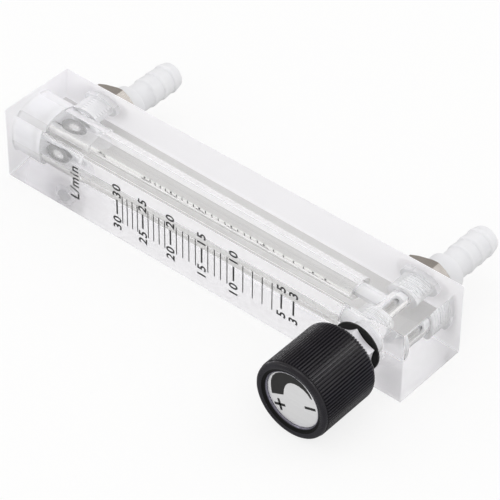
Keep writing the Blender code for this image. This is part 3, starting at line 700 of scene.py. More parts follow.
# %% Tools across the block
ring_seat = [
    (0, OVERRUN), (ring_seat_radius, OVERRUN), (ring_seat_radius, -ring_seat_depth),
    (tap_radius, -ring_seat_depth),
]
port_thread, worn_thread = [
    threaded(tap_radius, -ring_seat_depth - PORT_RUN_IN, -TAP_DEPTH + PORT_RUN_OUT, deep, THREAD_PITCH)
    for deep in (THREAD_DEEP, WORN_DOWN_TO * THREAD_DEEP)
]
outlet_hole = turn(
    "outlet hole", ring_seat + worn_thread + [
        (tap_radius, -TAP_DEPTH), (PASSAGE_PORT_RADIUS, -TAP_DEPTH),
        (PASSAGE_PORT_RADIUS, -block_size.y / 2), (0, -block_size.y / 2),
    ], outlet_place, "+Y", drilled_acrylic,
)
inlet_hole = turn(
    "inlet hole", ring_seat + port_thread + [(tap_radius, -TAP_DEPTH), (0, -TAP_DEPTH)],
    inlet_place, "+Y", drilled_acrylic,
)
chamber_end = block_size.y - TAP_DEPTH + OVERRUN
chamber = turn(
    "valve chamber", mouth(CHAMBER_TAP_RADIUS) + threaded(
        CHAMBER_TAP_RADIUS, -CHAMBER_RUN_IN, CHAMBER_RUN_OUT - CHAMBER_TAP_DEPTH, THREAD_DEEP, THREAD_PITCH,
    ) + [
        (CHAMBER_TAP_RADIUS, -CHAMBER_TAP_DEPTH), (0, -CHAMBER_TAP_DEPTH),
    ], valve_place, "-Y", tapped_acrylic,
)
needle_room = turn(
    "needle room", [
        (0, OVERRUN - CHAMBER_TAP_DEPTH), (CHAMBER_RADIUS, OVERRUN - CHAMBER_TAP_DEPTH),
        (CHAMBER_RADIUS, -chamber_end), (0, -chamber_end),
    ], valve_place, "-Y", polished_acrylic,
)
carve(acrylic_block, [
    plug_hole, ball_rest, float_bore, passage, outlet_hole, inlet_hole, chamber, needle_room,
])
print("block has", len(acrylic_block.data.polygons), "faces after cutting")

# %% Satin faces of the block
finishes = acrylic_block.data.materials
finishes.append(satin_acrylic.material)
satin_faces = [face for face in acrylic_block.data.polygons if (
    face.normal.y > 0.1 and face.center.y > block_high.y - BLOCK_EDGE
    or face.normal.x < -0.1 and face.center.x < block_low.x + BLOCK_EDGE
) and face.material_index == 0]
for face in satin_faces:
    face.material_index = len(finishes) - 1
print("finishes:", [m.name for m in finishes], "satin faces:", len(satin_faces))
settle(acrylic_block, "root", "clear_acrylic", "body_block")

# %% [markdown]
# ## White nylon
# The plug, the barbs and the valve seat are injection moulded in natural nylon. It lets a
# little light in, so its shadows are soft and slightly blue. Subsurface scattering gives
# that, and faint cloudy mottling keeps it from looking like chalk. The plug and the seat
# sit inside the acrylic, so theirs is a second version of the finish with a painted glow,
# which stands in for the light that the acrylic pipes to them.

# %% Nylon finish
def moulded_nylon(name, painted_glow):
    finish = Finish(name, IOR=1.53, Emission_Strength=painted_glow)
    finish.shader.inputs["Subsurface Weight"].default_value = 0.6
    finish.shader.inputs["Subsurface Radius"].default_value = (1.0, 1.0, 1.0)
    finish.shader.inputs["Subsurface Scale"].default_value = 2.0 * MM
    cloud = finish.noise(180, detail=4)
    shade = finish.mix(cloud, (0.71, 0.71, 0.73, 1), (0.77, 0.77, 0.78, 1))
    finish.set(
        Base_Color=shade, Emission_Color=shade,
        Roughness=0.34 + cloud * 0.14,
        Normal=finish.bump(finish.noise(1500, detail=3), 0.12, 0.03 * MM),
    )
    return finish


# painted glow of the plug and the seat, for light that the acrylic pipes to them
NYLON_PAINTED_GLOW = 0.14
nylon = moulded_nylon("natural white nylon", 0.0)
painted_glow_nylon = moulded_nylon("nylon with painted glow", NYLON_PAINTED_GLOW)
print("nylon ready")

# %% [markdown]
# ## Plug
# The plug closes the bore's top end and stops the ball. Its groove is part of the turned
# profile, since a ring sits in it, and the screwdriver slot is cut across its outer face.

# %% Plug
PLUG_CHAMFER = 0.6 * MM
PLUG_SLOT = (1.6 * MM, 2.0 * MM)
ring_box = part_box("top_plug_ring")
plug_ring_depth = (ring_box[0].x + ring_box[1].x) / 2 - block_low.x
groove_half = (ring_box[1].x - ring_box[0].x) / 2 + SEAT_GAP / 2
groove_radius = (ring_box[1].y - ring_box[0].y) / 2 - 2 * groove_half
plug = turn(
    "end_plug", [
        (0, -PLUG_SET_IN),
        (PLUG_RADIUS - PLUG_CHAMFER, -PLUG_SET_IN),
        (PLUG_RADIUS, -PLUG_SET_IN - PLUG_CHAMFER),
        (PLUG_RADIUS, groove_half - plug_ring_depth),
        (groove_radius, groove_half - plug_ring_depth),
        (groove_radius, -groove_half - plug_ring_depth),
        (PLUG_RADIUS, -groove_half - plug_ring_depth),
        (PLUG_RADIUS, PLUG_CHAMFER - plug_depth),
        (PLUG_RADIUS - PLUG_CHAMFER, -plug_depth),
        (0, -plug_depth),
    ], top_end, "-X", painted_glow_nylon,
)
slot_low = top_end + Vector((-OVERRUN, -PLUG_RADIUS - OVERRUN, -PLUG_SLOT[0] / 2))
slot_high = top_end + Vector((PLUG_SET_IN + PLUG_SLOT[1], PLUG_RADIUS + OVERRUN, PLUG_SLOT[0] / 2))
carve(plug, [block_of("plug slot", slot_low, slot_high, painted_glow_nylon)])
settle(plug, "root", "white_nylon", "top_plug")

# %% [markdown]
# ## Hose barbs
# Each barb is a threaded shank, a plain collar and a ribbed tail. The ribs of these are low
# and soft, with a steep side towards the block that grips the hose.

# %% Barbs
COLLAR_RADIUS, COLLAR_START, COLLAR_END, COLLAR_EDGE = 6.0 * MM, 8.3 * MM, 13.4 * MM, 0.5 * MM
NECK_RADIUS, NECK_LENGTH = 4.5 * MM, 5.6 * MM
RIB_COUNT, RIB_PITCH, RIB_RISE, RIB_HEIGHT = 3, 4.6 * MM, 0.8 * MM, 0.38 * MM
RIB_CREST_FALL, RIB_CREST_LENGTH = 0.06 * MM, 0.35 * MM   # the crest's soft side, away from the block
RIB_KNEES = ((0.55, 0.30 * MM), (0.2, 0.1 * MM))          # share of the rise, height over the neck
NOSE_LENGTH, NOSE_RADIUS, NOSE_ROUND = 3.2 * MM, 4.3 * MM, 0.6 * MM
SHANK_DEPTH, SHANK_LEAD, SHANK_RUN_IN = 6.2 * MM, 0.7 * MM, 0.4 * MM
HOSE_BORE_RADIUS = 2.5 * MM


def barb_profile():
    last_rib = COLLAR_END + NECK_LENGTH + RIB_RISE + (RIB_COUNT - 1) * RIB_PITCH
    end = last_rib + NOSE_LENGTH
    rows = [(HOSE_BORE_RADIUS, end)] + arc((NOSE_RADIUS - NOSE_ROUND, end - NOSE_ROUND), NOSE_ROUND, 90, 0)
    for i in reversed(range(RIB_COUNT)):
        foot = COLLAR_END + NECK_LENGTH + i * RIB_PITCH
        crest = NECK_RADIUS + RIB_HEIGHT
        rows += [(crest - RIB_CREST_FALL, foot + RIB_RISE + RIB_CREST_LENGTH), (crest, foot + RIB_RISE)]
        rows += [(NECK_RADIUS + height, foot + share * RIB_RISE) for share, height in RIB_KNEES]
        rows.append((NECK_RADIUS, foot))
    rows += arc((NECK_RADIUS + COLLAR_EDGE, COLLAR_END + COLLAR_EDGE), COLLAR_EDGE, 180, 270, 4)
    rows += arc((COLLAR_RADIUS - COLLAR_EDGE, COLLAR_END - COLLAR_EDGE), COLLAR_EDGE, 90, 0, 4)
    rows += [(COLLAR_RADIUS, COLLAR_START), (THREAD_RADIUS, COLLAR_START)]
    rows += threaded(
        THREAD_RADIUS, COLLAR_START - SHANK_RUN_IN, SHANK_LEAD - SHANK_DEPTH, THREAD_DEEP, THREAD_PITCH,
    )
    rows += [(THREAD_RADIUS - SHANK_LEAD, -SHANK_DEPTH), (HOSE_BORE_RADIUS, -SHANK_DEPTH)]
    return rows


for side, node in (("outlet", "outlet_barb"), ("inlet", "inlet_barb")):
    seat = Vector((middle_of(node).x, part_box(node)[0].y + SHANK_DEPTH, mid_z))
    barb = turn(side + "_hose_barb", barb_profile(), seat, "+Y", nylon)
    settle(barb, "root", "white_nylon", node)

# %% [markdown]
# ## Nickel plate
# The lock nuts and the bonnet are brass with nickel on it. On the nuts it is bright: mostly
# a mirror, with a warm cast, fine handling marks and duller patches. On the bonnet it has
# gone satin, and it hardly mirrors at all, so that finish has little Metallic and a fine
# bumpy grain.

# %% Nickel finishes
nickel = Finish("nickel plate", Metallic=1.0)
marks = nickel.noise(700, detail=5, stretch=(1, 4, 1))
dull = nickel.ramp(nickel.noise(130, detail=3), (0.4, 0.0), (0.75, 1.0))
nickel.set(
    Base_Color=nickel.mix(dull, (0.74, 0.71, 0.68, 1), (0.60, 0.57, 0.54, 1)),
    Roughness=0.13 + dull * 0.16 + marks * 0.05,
    Normal=nickel.bump(marks, 0.10, 0.02 * MM),
)
dull_nickel = Finish("satin nickel plate", Metallic=0.12)
grain = dull_nickel.noise(1800, detail=4)
dull_nickel.set(
    Base_Color=dull_nickel.mix(grain, (0.90, 0.89, 0.93, 1), (0.98, 0.97, 1.0, 1)),
    Roughness=0.34 + grain * 0.14,
    Normal=dull_nickel.bump(grain, 0.25, 0.03 * MM),
)
print("nickel ready")

# %% [markdown]
# ## Lock nuts
# Each nut holds its barb against the rear face. A real nut is turned from hexagonal bar, so
# its chamfers are cones that cut its corners in curves. Here it goes the other way round
# with the same result: the nut is turned with its cones, and then only what lies inside a
# hexagonal bar is kept.

# %% Lock nuts
NUT_ACROSS_FLATS, NUT_FACE_RADIUS, NUT_CHAMFER = 18.0 * MM, 9.3 * MM, 0.7 * MM
NUT_MOUTH = 0.5 * MM
NUT_CORNER = math.radians(-75)
nut_hole = THREAD_RADIUS + SEAT_GAP
nut_corner_radius = NUT_FACE_RADIUS + 2 * NUT_CHAMFER

for side in ("outlet", "inlet"):
    low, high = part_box(side + "_nut")
    place = Vector((middle_of(side + "_nut").x, block_high.y, mid_z))
    foot, head = low.y - block_high.y, high.y - block_high.y
    nut = turn(
        side + "_lock_nut", [
            (nut_hole + NUT_MOUTH, head), (NUT_FACE_RADIUS, head),
            (nut_corner_radius, head - NUT_CHAMFER), (nut_corner_radius, foot + NUT_CHAMFER),
            (NUT_FACE_RADIUS, foot), (nut_hole + NUT_MOUTH, foot),
            (nut_hole, foot + NUT_MOUTH), (nut_hole, head - NUT_MOUTH),
        ], place, "+Y", nickel,
    )
    bar = hexagon_bar(
        "hexagon", NUT_ACROSS_FLATS, NUT_CORNER, foot - OVERRUN, head + OVERRUN, place, "+Y", nickel,
    )
    carve(nut, [bar], "INTERSECT")
    settle(nut, "root", "nickel_plate", side + "_nut")

# %% [markdown]
# ## Valve bonnet
# The bonnet screws into the front of the block and guides the stem. Its hexagon is what
# shows behind the knob, and there its edge runs in between sharp corners. So its flats are
# drawn a little hollow, which the outline of the hexagonal bar does.

# %% Bonnet
BONNET_ACROSS_FLATS, BONNET_CORNER, BONNET_CHAMFER = 13.0 * MM, math.radians(86), 0.5 * MM
BONNET_HOLLOW = 0.7 * MM
BONNET_BOSS_RADIUS, BONNET_BOSS_HEIGHT, BONNET_BOSS_EDGE = 4.2 * MM, 0.9 * MM, 0.2 * MM
BONNET_RUN_IN, BONNET_THREAD_DEEP = 0.6 * MM, 0.4 * MM
STEM_RADIUS, STEM_LAND_RADIUS = 2.0 * MM, 2.6 * MM
STEM_ROOM = 0.3 * MM
PLAIN_BORE_DEPTH = 1.2 * MM
low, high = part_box("valve_bonnet")
boss_top, shank_end = block_low.y - low.y, block_low.y - high.y
washer_low, washer_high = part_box("bonnet_washer")
head_foot = block_low.y - washer_low.y + SEAT_GAP
head_top = boss_top - BONNET_BOSS_HEIGHT
shank = CHAMBER_TAP_RADIUS - SEAT_GAP
hex_radius = BONNET_ACROSS_FLATS / math.sqrt(3) + BONNET_CHAMFER
face_radius = BONNET_ACROSS_FLATS / 2
bonnet = turn(
    "valve_bonnet_plated", [
        (STEM_LAND_RADIUS + STEM_ROOM, boss_top),
        (BONNET_BOSS_RADIUS - BONNET_BOSS_EDGE, boss_top), (BONNET_BOSS_RADIUS, boss_top - BONNET_BOSS_EDGE),
        (BONNET_BOSS_RADIUS, head_top), (face_radius, head_top),
        (hex_radius, head_top - (hex_radius - face_radius) / 2), (hex_radius, head_foot),
        (shank, head_foot),
    ] + threaded(
        shank, -BONNET_RUN_IN, shank_end + BONNET_CHAMFER, BONNET_THREAD_DEEP, THREAD_PITCH,
    ) + [
        (shank - BONNET_CHAMFER, shank_end), (STEM_RADIUS + SEAT_GAP, shank_end),
        (STEM_RADIUS + SEAT_GAP, -PLAIN_BORE_DEPTH), (STEM_LAND_RADIUS + STEM_ROOM, -PLAIN_BORE_DEPTH),
    ], valve_place, "-Y", dull_nickel,
)
bar = hexagon_bar(
    "hexagon", BONNET_ACROSS_FLATS, BONNET_CORNER, shank_end - OVERRUN, boss_top + OVERRUN,
    valve_place, "-Y", dull_nickel, hollow=BONNET_HOLLOW,
)
carve(bonnet, [bar], "INTERSECT")
settle(bonnet, "root", "nickel_plate", "valve_bonnet")

# %% [markdown]
# ## Washer
# A black rubber washer seals the bonnet on the block. Rubber is dull and a little bloomed,
# so its noise lifts the black in clouds, and a fine bump breaks up what gloss it has.

# %% Rubber finish and washer
WASHER_TRIM = 0.8 * MM                 # the photo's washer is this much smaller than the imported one
WASHER_ROUND = 0.25 * MM
rubber = Finish("black rubber", IOR=1.5)
rubber.shader.inputs["Specular IOR Level"].default_value = 0.25
bloom = rubber.noise(400, detail=4)
rubber.set(
    Base_Color=rubber.mix(bloom, grey(0.006), grey(0.014)),
    Roughness=0.48 + bloom * 0.2,
    Normal=rubber.bump(rubber.noise(3500, detail=2), 0.2, 0.03 * MM),
)
washer_radius = (washer_high.x - washer_low.x) / 2 - WASHER_TRIM
washer_top, washer_foot = block_low.y - washer_low.y, block_low.y - washer_high.y
washer = turn(
    "rubber_washer",
    [(shank + SEAT_GAP, washer_top)]
    + arc((washer_radius - WASHER_ROUND, washer_top - WASHER_ROUND), WASHER_ROUND, 90, 0, 3)
    + arc((washer_radius - WASHER_ROUND, washer_foot + WASHER_ROUND), WASHER_ROUND, 0, -90, 3)
    + [(shank + SEAT_GAP, washer_foot)],
    valve_place, "-Y", rubber,
)
settle(washer, "root", "black_rubber", "bonnet_washer")

# %% [markdown]
# ## Stem and needle
# The stem is one turned piece of steel: a socket for the knob's screw, a land that carries
# the seal ring, a fine thread, a stop collar that can't pass the bonnet, and the needle.
# Through the side of the block the needle shows as bright streaks, so it is polished, with
# marks that run round it.

# %% Steel finish and stem
steel = Finish("polished steel", Metallic=1.0)
polish = steel.noise(900, detail=4, stretch=(1, 6, 1))
steel.set(
    Base_Color=steel.mix(polish, grey(0.62), grey(0.74)),
    Roughness=0.05 + polish * 0.07,
    Normal=steel.bump(polish, 0.05, 0.01 * MM),
)
SCREW_SOCKET_RADIUS, SCREW_SOCKET_DEPTH = 1.3 * MM, 4 * MM
STEM_THREAD_DEEP, STEM_THREAD_PITCH, STEM_RUN_OUT = 0.22 * MM, 0.5 * MM, 0.3 * MM
STOP_COLLAR_RADIUS, STOP_COLLAR_LENGTH = 2.7 * MM, 2.0 * MM
NEEDLE_TIP_RADIUS, NEEDLE_TIP_EDGE, NEEDLE_SLOPE = 0.4 * MM, 0.1 * MM, 0.35
VALVE_OPENING = 1.5 * MM
STEM_LAND_START, STEM_LAND_SET_IN = 0.6 * MM, 0.8 * MM
low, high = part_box("valve_stem")
stem_end, tip = block_low.y - low.y, block_low.y - high.y
ring_low, ring_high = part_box("stem_ring")
stem_ring_at = block_low.y - (ring_low.y + ring_high.y) / 2
stem_groove = (ring_high.y - ring_low.y) / 2 + SEAT_GAP / 2
stem_groove_radius = (ring_high.x - ring_low.x) / 2 - (ring_high.y - ring_low.y) - SEAT_GAP / 2
land_end = boss_top - STEM_LAND_SET_IN
collar_top = shank_end - VALVE_OPENING - SEAT_GAP
collar_foot = collar_top - STOP_COLLAR_LENGTH
needle_top = tip + (STEM_RADIUS - NEEDLE_TIP_RADIUS) / NEEDLE_SLOPE
stem = turn(
    "needle_stem", [
        (0, stem_end - SCREW_SOCKET_DEPTH), (SCREW_SOCKET_RADIUS, stem_end - SCREW_SOCKET_DEPTH),
        (SCREW_SOCKET_RADIUS, stem_end), (STEM_RADIUS, stem_end),
        (STEM_RADIUS, land_end), (STEM_LAND_RADIUS, land_end),
        (STEM_LAND_RADIUS, stem_ring_at + stem_groove), (stem_groove_radius, stem_ring_at + stem_groove),
        (stem_groove_radius, stem_ring_at - stem_groove), (STEM_LAND_RADIUS, stem_ring_at - stem_groove),
        (STEM_LAND_RADIUS, STEM_LAND_START), (STEM_RADIUS, STEM_LAND_START),
    ] + threaded(
        STEM_RADIUS, -PLAIN_BORE_DEPTH, collar_top + STEM_RUN_OUT, STEM_THREAD_DEEP, STEM_THREAD_PITCH,
    ) + [
        (STEM_RADIUS, collar_top), (STOP_COLLAR_RADIUS, collar_top), (STOP_COLLAR_RADIUS, collar_foot),
        (STEM_RADIUS, collar_foot), (STEM_RADIUS, needle_top),
        (NEEDLE_TIP_RADIUS, tip + NEEDLE_TIP_EDGE), (NEEDLE_TIP_RADIUS - NEEDLE_TIP_EDGE, tip), (0, tip),
    ], valve_place, "-Y", steel, steps=64,
)
settle(stem, "knob", "polished_steel", "valve_stem")

# %% [markdown]
# ## Ball
# The float is a bearing ball. In a white studio a mirror ball would mirror white all over
# and vanish in the clear bore. The photo's ball is bright only in its middle and grey round
# it, so that grey rim is painted shade. Layer Weight's Facing tells how far a spot turns
# away from the eye, and from a small angle on it the painted grey takes both brightness and
# mirror away.

# %% Ball
BALL_MIDDLE = (0.02, 0.17)             # Facing, from where the grey starts to where it is full
LESS_METAL = 0.7
low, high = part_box("float_ball")
ball_radius = (high.x - low.x) / 2
ball_steel = Finish("ball steel", Roughness=0.06)
ball_steel.shader.inputs["Specular IOR Level"].default_value = 0.1
edge_on = ball_steel.node("ShaderNodeLayerWeight", sockets={"Blend": 0.5}, out="Facing")
# painted shade: a grey rim and a bright middle, set by the angle to the eye
ball_painted_rim_shade = ball_steel.ramp(edge_on, (BALL_MIDDLE[0], 0.0), (BALL_MIDDLE[1], 1.0))
ball_grain = ball_steel.noise(1500, detail=3)
ball_steel.set(
    Metallic=1 - ball_painted_rim_shade * LESS_METAL,
    Base_Color=ball_steel.mix(ball_painted_rim_shade, ball_steel.mix(ball_grain, grey(0.90), grey(0.98)), grey(0.22)),
)
half_circle = arc((0, 0), ball_radius, 90, -90, 32)
ball = turn("steel_ball", half_circle, (low + high) / 2, "+Y", ball_steel, steps=64)
settle(ball, "float", "polished_steel", "float_ball")

# %% [markdown]
# ## Seal rings
# The rings are round cords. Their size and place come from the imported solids, so one loop
# draws all four: three in clear silicone and the stem's in black.

# %% Rings
silicone = Finish("clear silicone", IOR=1.41)
silicone.shader.inputs["Transmission Weight"].default_value = 0.35
film = silicone.noise(600, detail=3)
silicone.set(
    Base_Color=silicone.mix(film, (0.70, 0.70, 0.71, 1), (0.82, 0.82, 0.82, 1)),
    Roughness=0.28 + film * 0.15,
    Normal=silicone.bump(film, 0.15, 0.03 * MM),
)
for node, towards, body, slot_name, finish in (
    ("top_plug_ring", "-X", "root", "clear_silicone", silicone),
    ("outlet_ring", "+Y", "root", "clear_silicone", silicone),
    ("inlet_ring", "+Y", "root", "clear_silicone", silicone),
    ("stem_ring", "-Y", "stem_seal", "black_rubber", rubber),
):
    low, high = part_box(node)
    size = sorted(high - low)
    cord, outside = size[0] / 2, size[2] / 2
    section = [(outside - cord + x, y) for x, y in arc((0, 0), cord, 90, -270, 20)[:-1]]
    ring = turn(node + "_cord", section, (low + high) / 2, towards, finish, steps=80)
    settle(ring, body, slot_name, node)

# %% [markdown]
# ## The knob
# A moulded shell in satin black with eighty fine flutes. The flutes aren't a bump map: the
# silhouette at the rear edge is toothed in the photo, so each row of the profile between the
# rim and the rear round is pulled in and out round the turn. The profile runs from the rim
# back over the flutes, round the hollow rear and through the hub to the recess in front.

# %% Black plastic
plastic = Finish("satin black plastic", IOR=1.5)
plastic.shader.inputs["Specular IOR Level"].default_value = 0.50
speck = plastic.noise(2600, detail=4)
wear = plastic.ramp(plastic.noise(90, detail=3), (0.45, 0.0), (0.8, 1.0))
plastic.set(
    Base_Color=plastic.mix(wear, (0.011, 0.010, 0.014, 1), (0.020, 0.019, 0.025, 1)),
    Roughness=0.22 + speck * 0.10 + wear * 0.05,
    Normal=plastic.bump(speck, 0.18, 0.03 * MM),
)
print("black plastic ready")

# %% Sizes of the knob
FLUTE_COUNT, FLUTE_DEPTH, POINTS_PER_FLUTE = 80, 0.55 * MM, 10
CREST_SHARE, SLOPE_SHARE = 0.42, 0.35  # of half a flute's width
FLUTE_RUN_IN, FLUTE_RUN_OUT = 0.35 * MM, 0.8 * MM
FLUTES_FALL = 1.9 * MM                 # how far the flutes follow the rear round inwards
RIM_RADIUS, RIM_LENGTH, RIM_ROUND = 12.15 * MM, 1.3 * MM, 0.9 * MM
RIM_STEP, RIM_STEP_LENGTH = 0.25 * MM, 0.05 * MM
REAR_ROUND = 2.1 * MM
RECESS_RADIUS, RECESS_DEPTH = 9.35 * MM, 2.0 * MM
RECESS_FLARE, RECESS_FLARE_DEPTH = 1.7 * MM, 0.80 * MM
LIP_WIDTH, LIP_FALL = 0.8 * MM, 0.18 * MM
HOLLOW_RADIUS, HOLLOW_DEPTH = 9.6 * MM, 12.7 * MM
KNOB_LONGER = 0.9 * MM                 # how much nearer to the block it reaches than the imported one
INSERT_RADIUS = 3.5 * MM
HUB_RADIUS = 5.6 * MM
POCKET_RADIUS = 3.2 * MM
low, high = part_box("knob")
front, rear = block_low.y - low.y, block_low.y - high.y - KNOB_LONGER
knob_radius = (high.z - low.z) / 2
insert_low, insert_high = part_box("knob_insert")
hub_foot = block_low.y - insert_high.y - SEAT_GAP
hollow_floor = block_low.y - high.y + HOLLOW_DEPTH
pocket_floor = block_low.y - insert_low.y + SEAT_GAP
flute_start = front - RIM_LENGTH
flute_full = flute_start - FLUTE_RUN_IN
flutes_end = knob_radius - FLUTES_FALL
lip_inside = RECESS_RADIUS + RECESS_FLARE - LIP_WIDTH
print("knob radius, front and rear, mm:", [round(v / MM, 2) for v in (knob_radius, front, rear)])

# %% Knob
def flutes(here, along, share):
    """Crests with sloping sides and narrow roots, on the outer wall and the rear round."""
    if along > flute_full + TINY:
        return here
    across = abs(2 * (share * FLUTE_COUNT % 1.0) - 1)
    fade = max(0.0, min(1.0, (here - flutes_end) / FLUTE_RUN_OUT))
    return here - FLUTE_DEPTH * fade * max(0.0, min(1.0, (across - CREST_SHARE) / SLOPE_SHARE))


crest_wall = [(knob_radius, flute_full), (knob_radius, rear + REAR_ROUND)]
knob = turn(
    "fluted_knob",
    [(RECESS_RADIUS + RECESS_FLARE, front)]
    + arc((RIM_RADIUS - RIM_ROUND, front - RIM_ROUND), RIM_ROUND, 90, 0)
    + [(RIM_RADIUS, flute_start), (RIM_RADIUS - RIM_STEP, flute_start - RIM_STEP_LENGTH)]
    + crest_wall
    + arc((knob_radius - REAR_ROUND, rear + REAR_ROUND), REAR_ROUND, 0, -90, 12)[1:]
    + [
        (HOLLOW_RADIUS, rear), (HOLLOW_RADIUS, hollow_floor), (HUB_RADIUS, hollow_floor),
        (HUB_RADIUS, hub_foot), (INSERT_RADIUS + SEAT_GAP, hub_foot),
        (INSERT_RADIUS + SEAT_GAP, pocket_floor), (POCKET_RADIUS, pocket_floor),
        (POCKET_RADIUS, front - RECESS_DEPTH), (RECESS_RADIUS, front - RECESS_DEPTH),
        (RECESS_RADIUS, front - RECESS_FLARE_DEPTH), (lip_inside, front - LIP_FALL),
    ],
    valve_place, "-Y", plastic, steps=FLUTE_COUNT * POINTS_PER_FLUTE, outline=flutes,
)

# %% [markdown]
# ### The recess
# The front face has a flat lip, and inside it a slope falls to the disc. The lip shines and
# the slope doesn't, because little light gets down there. That shade is painted: a blacker
# finish with hardly any gloss goes on the faces inside the lip.

# %% Recess finish
recess_painted_shade_plastic = Finish("black plastic with painted recess shade", IOR=1.5)
recess_painted_shade_plastic.shader.inputs["Specular IOR Level"].default_value = 0.12
recess_shade_mottle = recess_painted_shade_plastic.noise(700, detail=3)
# painted shade: the recess's plastic is blacker and duller than the knob's, mottled by noise
recess_painted_shade_plastic.set(
    Base_Color=recess_painted_shade_plastic.mix(recess_shade_mottle, grey(0.004), grey(0.009)), Roughness=0.30 + recess_shade_mottle * 0.15,
)
knob.data.materials.append(recess_painted_shade_plastic.material)
for face in knob.data.polygons:
    out_from_axis = math.hypot(face.center.x - valve_place.x, face.center.z - mid_z)
    in_front = face.center.y < valve_place.y - front + RECESS_DEPTH + SEAT_GAP
    if in_front and out_from_axis < lip_inside:
        face.material_index = 1
settle(knob, "knob", "black_plastic", "knob")

# %% [markdown]
# ## Disc and its ring
# A thin disc of brushed aluminium lies in the recess and carries the print. Its brushing is
# a noise that is stretched fiftyfold along one axis. A grey plated ring stands round it,
# as a thin dark line between the silver and the black.

# %% Aluminium disc
aluminium = Finish("brushed aluminium", Metallic=0.45)
brushing = aluminium.noise(2200, detail=3, stretch=(0.02, 1, 1))
aluminium.set(
    Base_Color=aluminium.mix(brushing, (0.90, 0.90, 0.91, 1), (0.98, 0.98, 0.99, 1)),
    Roughness=0.07 + brushing * 0.10,
    Normal=aluminium.bump(brushing, 0.06, 0.01 * MM),
)
DISC_EDGE, PLATE_THICK = 0.18 * MM, 0.35 * MM
low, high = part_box("knob_disc")
disc_foot = block_low.y - high.y
disc_radius = (high.x - low.x) / 2
plate_top = disc_foot + PLATE_THICK
disc = turn(
    "knob_face_disc", [
        (0, plate_top), (disc_radius - DISC_EDGE, plate_top), (disc_radius, plate_top - DISC_EDGE),
        (disc_radius, disc_foot), (0, disc_foot),
    ], valve_place, "-Y", aluminium,
)
settle(disc, "knob", "brushed_aluminium", "knob_disc")

# %% Grey plated ring
BEZEL_THICK, BEZEL_GAP, BEZEL_EDGE, BEZEL_PROUD = 0.3 * MM, 0.03 * MM, 0.08 * MM, 0.03 * MM
bezel_top = front - RECESS_FLARE_DEPTH + BEZEL_PROUD
bezel_out = RECESS_RADIUS - BEZEL_GAP
bezel_in = bezel_out - BEZEL_THICK
grey_plate = Finish("grey polished plate", Metallic=1.0)
swirl = grey_plate.noise(900, detail=3, stretch=(1, 5, 1))
grey_plate.set(
    Base_Color=grey_plate.mix(swirl, (0.24, 0.23, 0.30, 1), (0.36, 0.35, 0.42, 1)),
    Roughness=0.10 + swirl * 0.10,
)
bezel = turn(
    "disc_bezel", [
        (bezel_in, bezel_top - BEZEL_EDGE), (bezel_in + BEZEL_EDGE, bezel_top), (bezel_out, bezel_top),
        (bezel_out, plate_top + BEZEL_GAP), (bezel_in, plate_top + BEZEL_GAP),
    ], valve_place, "-Y", grey_plate,
)
settle(bezel, "knob", "brushed_aluminium")

# %% [markdown]
# ## Print
# The scale is screen printed on the polished front face. Each stroke is a slab of ink a few
# hundredths of a millimetre thick, which reaches just as far into the acrylic as it stands
# out of it. Ink that only lay on the surface would vanish from the mirror images inside the
# block, because they form at the acrylic's own skin.

# %% Ink
ink = Finish("black screen ink", IOR=1.5)
cover = ink.noise(1800, detail=4)
ink.set(
    Base_Color=ink.mix(cover, grey(0.012), grey(0.030)),
    Roughness=0.40 + cover * 0.2,
    Normal=ink.bump(cover, 0.1, 0.01 * MM),
)
print("ink ready")

# %% Tools to draw with
INK_HALF = 0.02 * MM                   # half of an ink slab's thickness
CAP_SHARE = 0.70                       # a capital's height over the font's size


def slab(shape, outline, to_world):
    """A flat outline, given as (across, up) points, as a thin slab on the face."""
    front_side = [shape.verts.new(to_world @ Vector((x, y, INK_HALF))) for x, y in outline]
    back_side = [shape.verts.new(to_world @ Vector((x, y, -INK_HALF))) for x, y in outline]
    shape.faces.new(front_side)
    shape.faces.new(list(reversed(back_side)))
    for i in range(len(outline)):
        j = (i + 1) % len(outline)
        shape.faces.new((front_side[i], back_side[i], back_side[j], front_side[j]))


def bar_outline(left, right, low, high):
    return [(left, low), (right, low), (right, high), (left, high)]


def lettering(shape, words, height, to_world, centred_at=None, starts_at=None, spacing=1.18, bold=0.030):
    """Words as slabs. Their middle or their start lies at a point (across, up)."""
    drawn = bpy.data.curves.new("words", "FONT")
    drawn.body = words
    drawn.size = height / CAP_SHARE
    drawn.space_character = spacing
    drawn.offset = bold * height
    drawn.resolution_u = 4
    drawn.extrude = INK_HALF
    drawn.align_x = "CENTER" if centred_at else "LEFT"
    holder = bpy.data.objects.new("words", drawn)
    bpy.context.scene.collection.objects.link(holder)
    bpy.context.view_layer.update()
    mesh = bpy.data.meshes.new_from_object(holder.evaluated_get(bpy.context.evaluated_depsgraph_get()))
    x, y = centred_at or starts_at
    mesh.transform(to_world @ Matrix.Translation((x, y, 0)))
    shape.from_mesh(mesh)
    bpy.data.objects.remove(holder)
    bpy.data.meshes.remove(mesh)


def printed(name, shape, body):
    mesh = bpy.data.meshes.new(name)
    bmesh.ops.remove_doubles(shape, verts=shape.verts, dist=2 * TINY)
    bmesh.ops.recalc_face_normals(shape, faces=shape.faces)
    shape.to_mesh(mesh)
    shape.free()
    mesh.materials.append(ink.material)
    thing = bpy.data.objects.new(name, mesh)
    bpy.context.scene.collection.objects.link(thing)
    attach(thing, body)
    print(name, "has", len(mesh.polygons), "faces")
    return thing


print("drawing tools ready")

# %% [markdown]
# ### The scale
# It reads from 30 near the top end to 3 near the valve. The marks crowd towards the top,
# because the taper is straight and the flow isn't. The places below are in millimetres
# from the block's top end and from its lower side. A numbered mark is a short thick dash
# with its number at both ends, and the marks between are long thin lines. Real lettering
# comes from Blender's own font, made into slabs of ink like the lines.

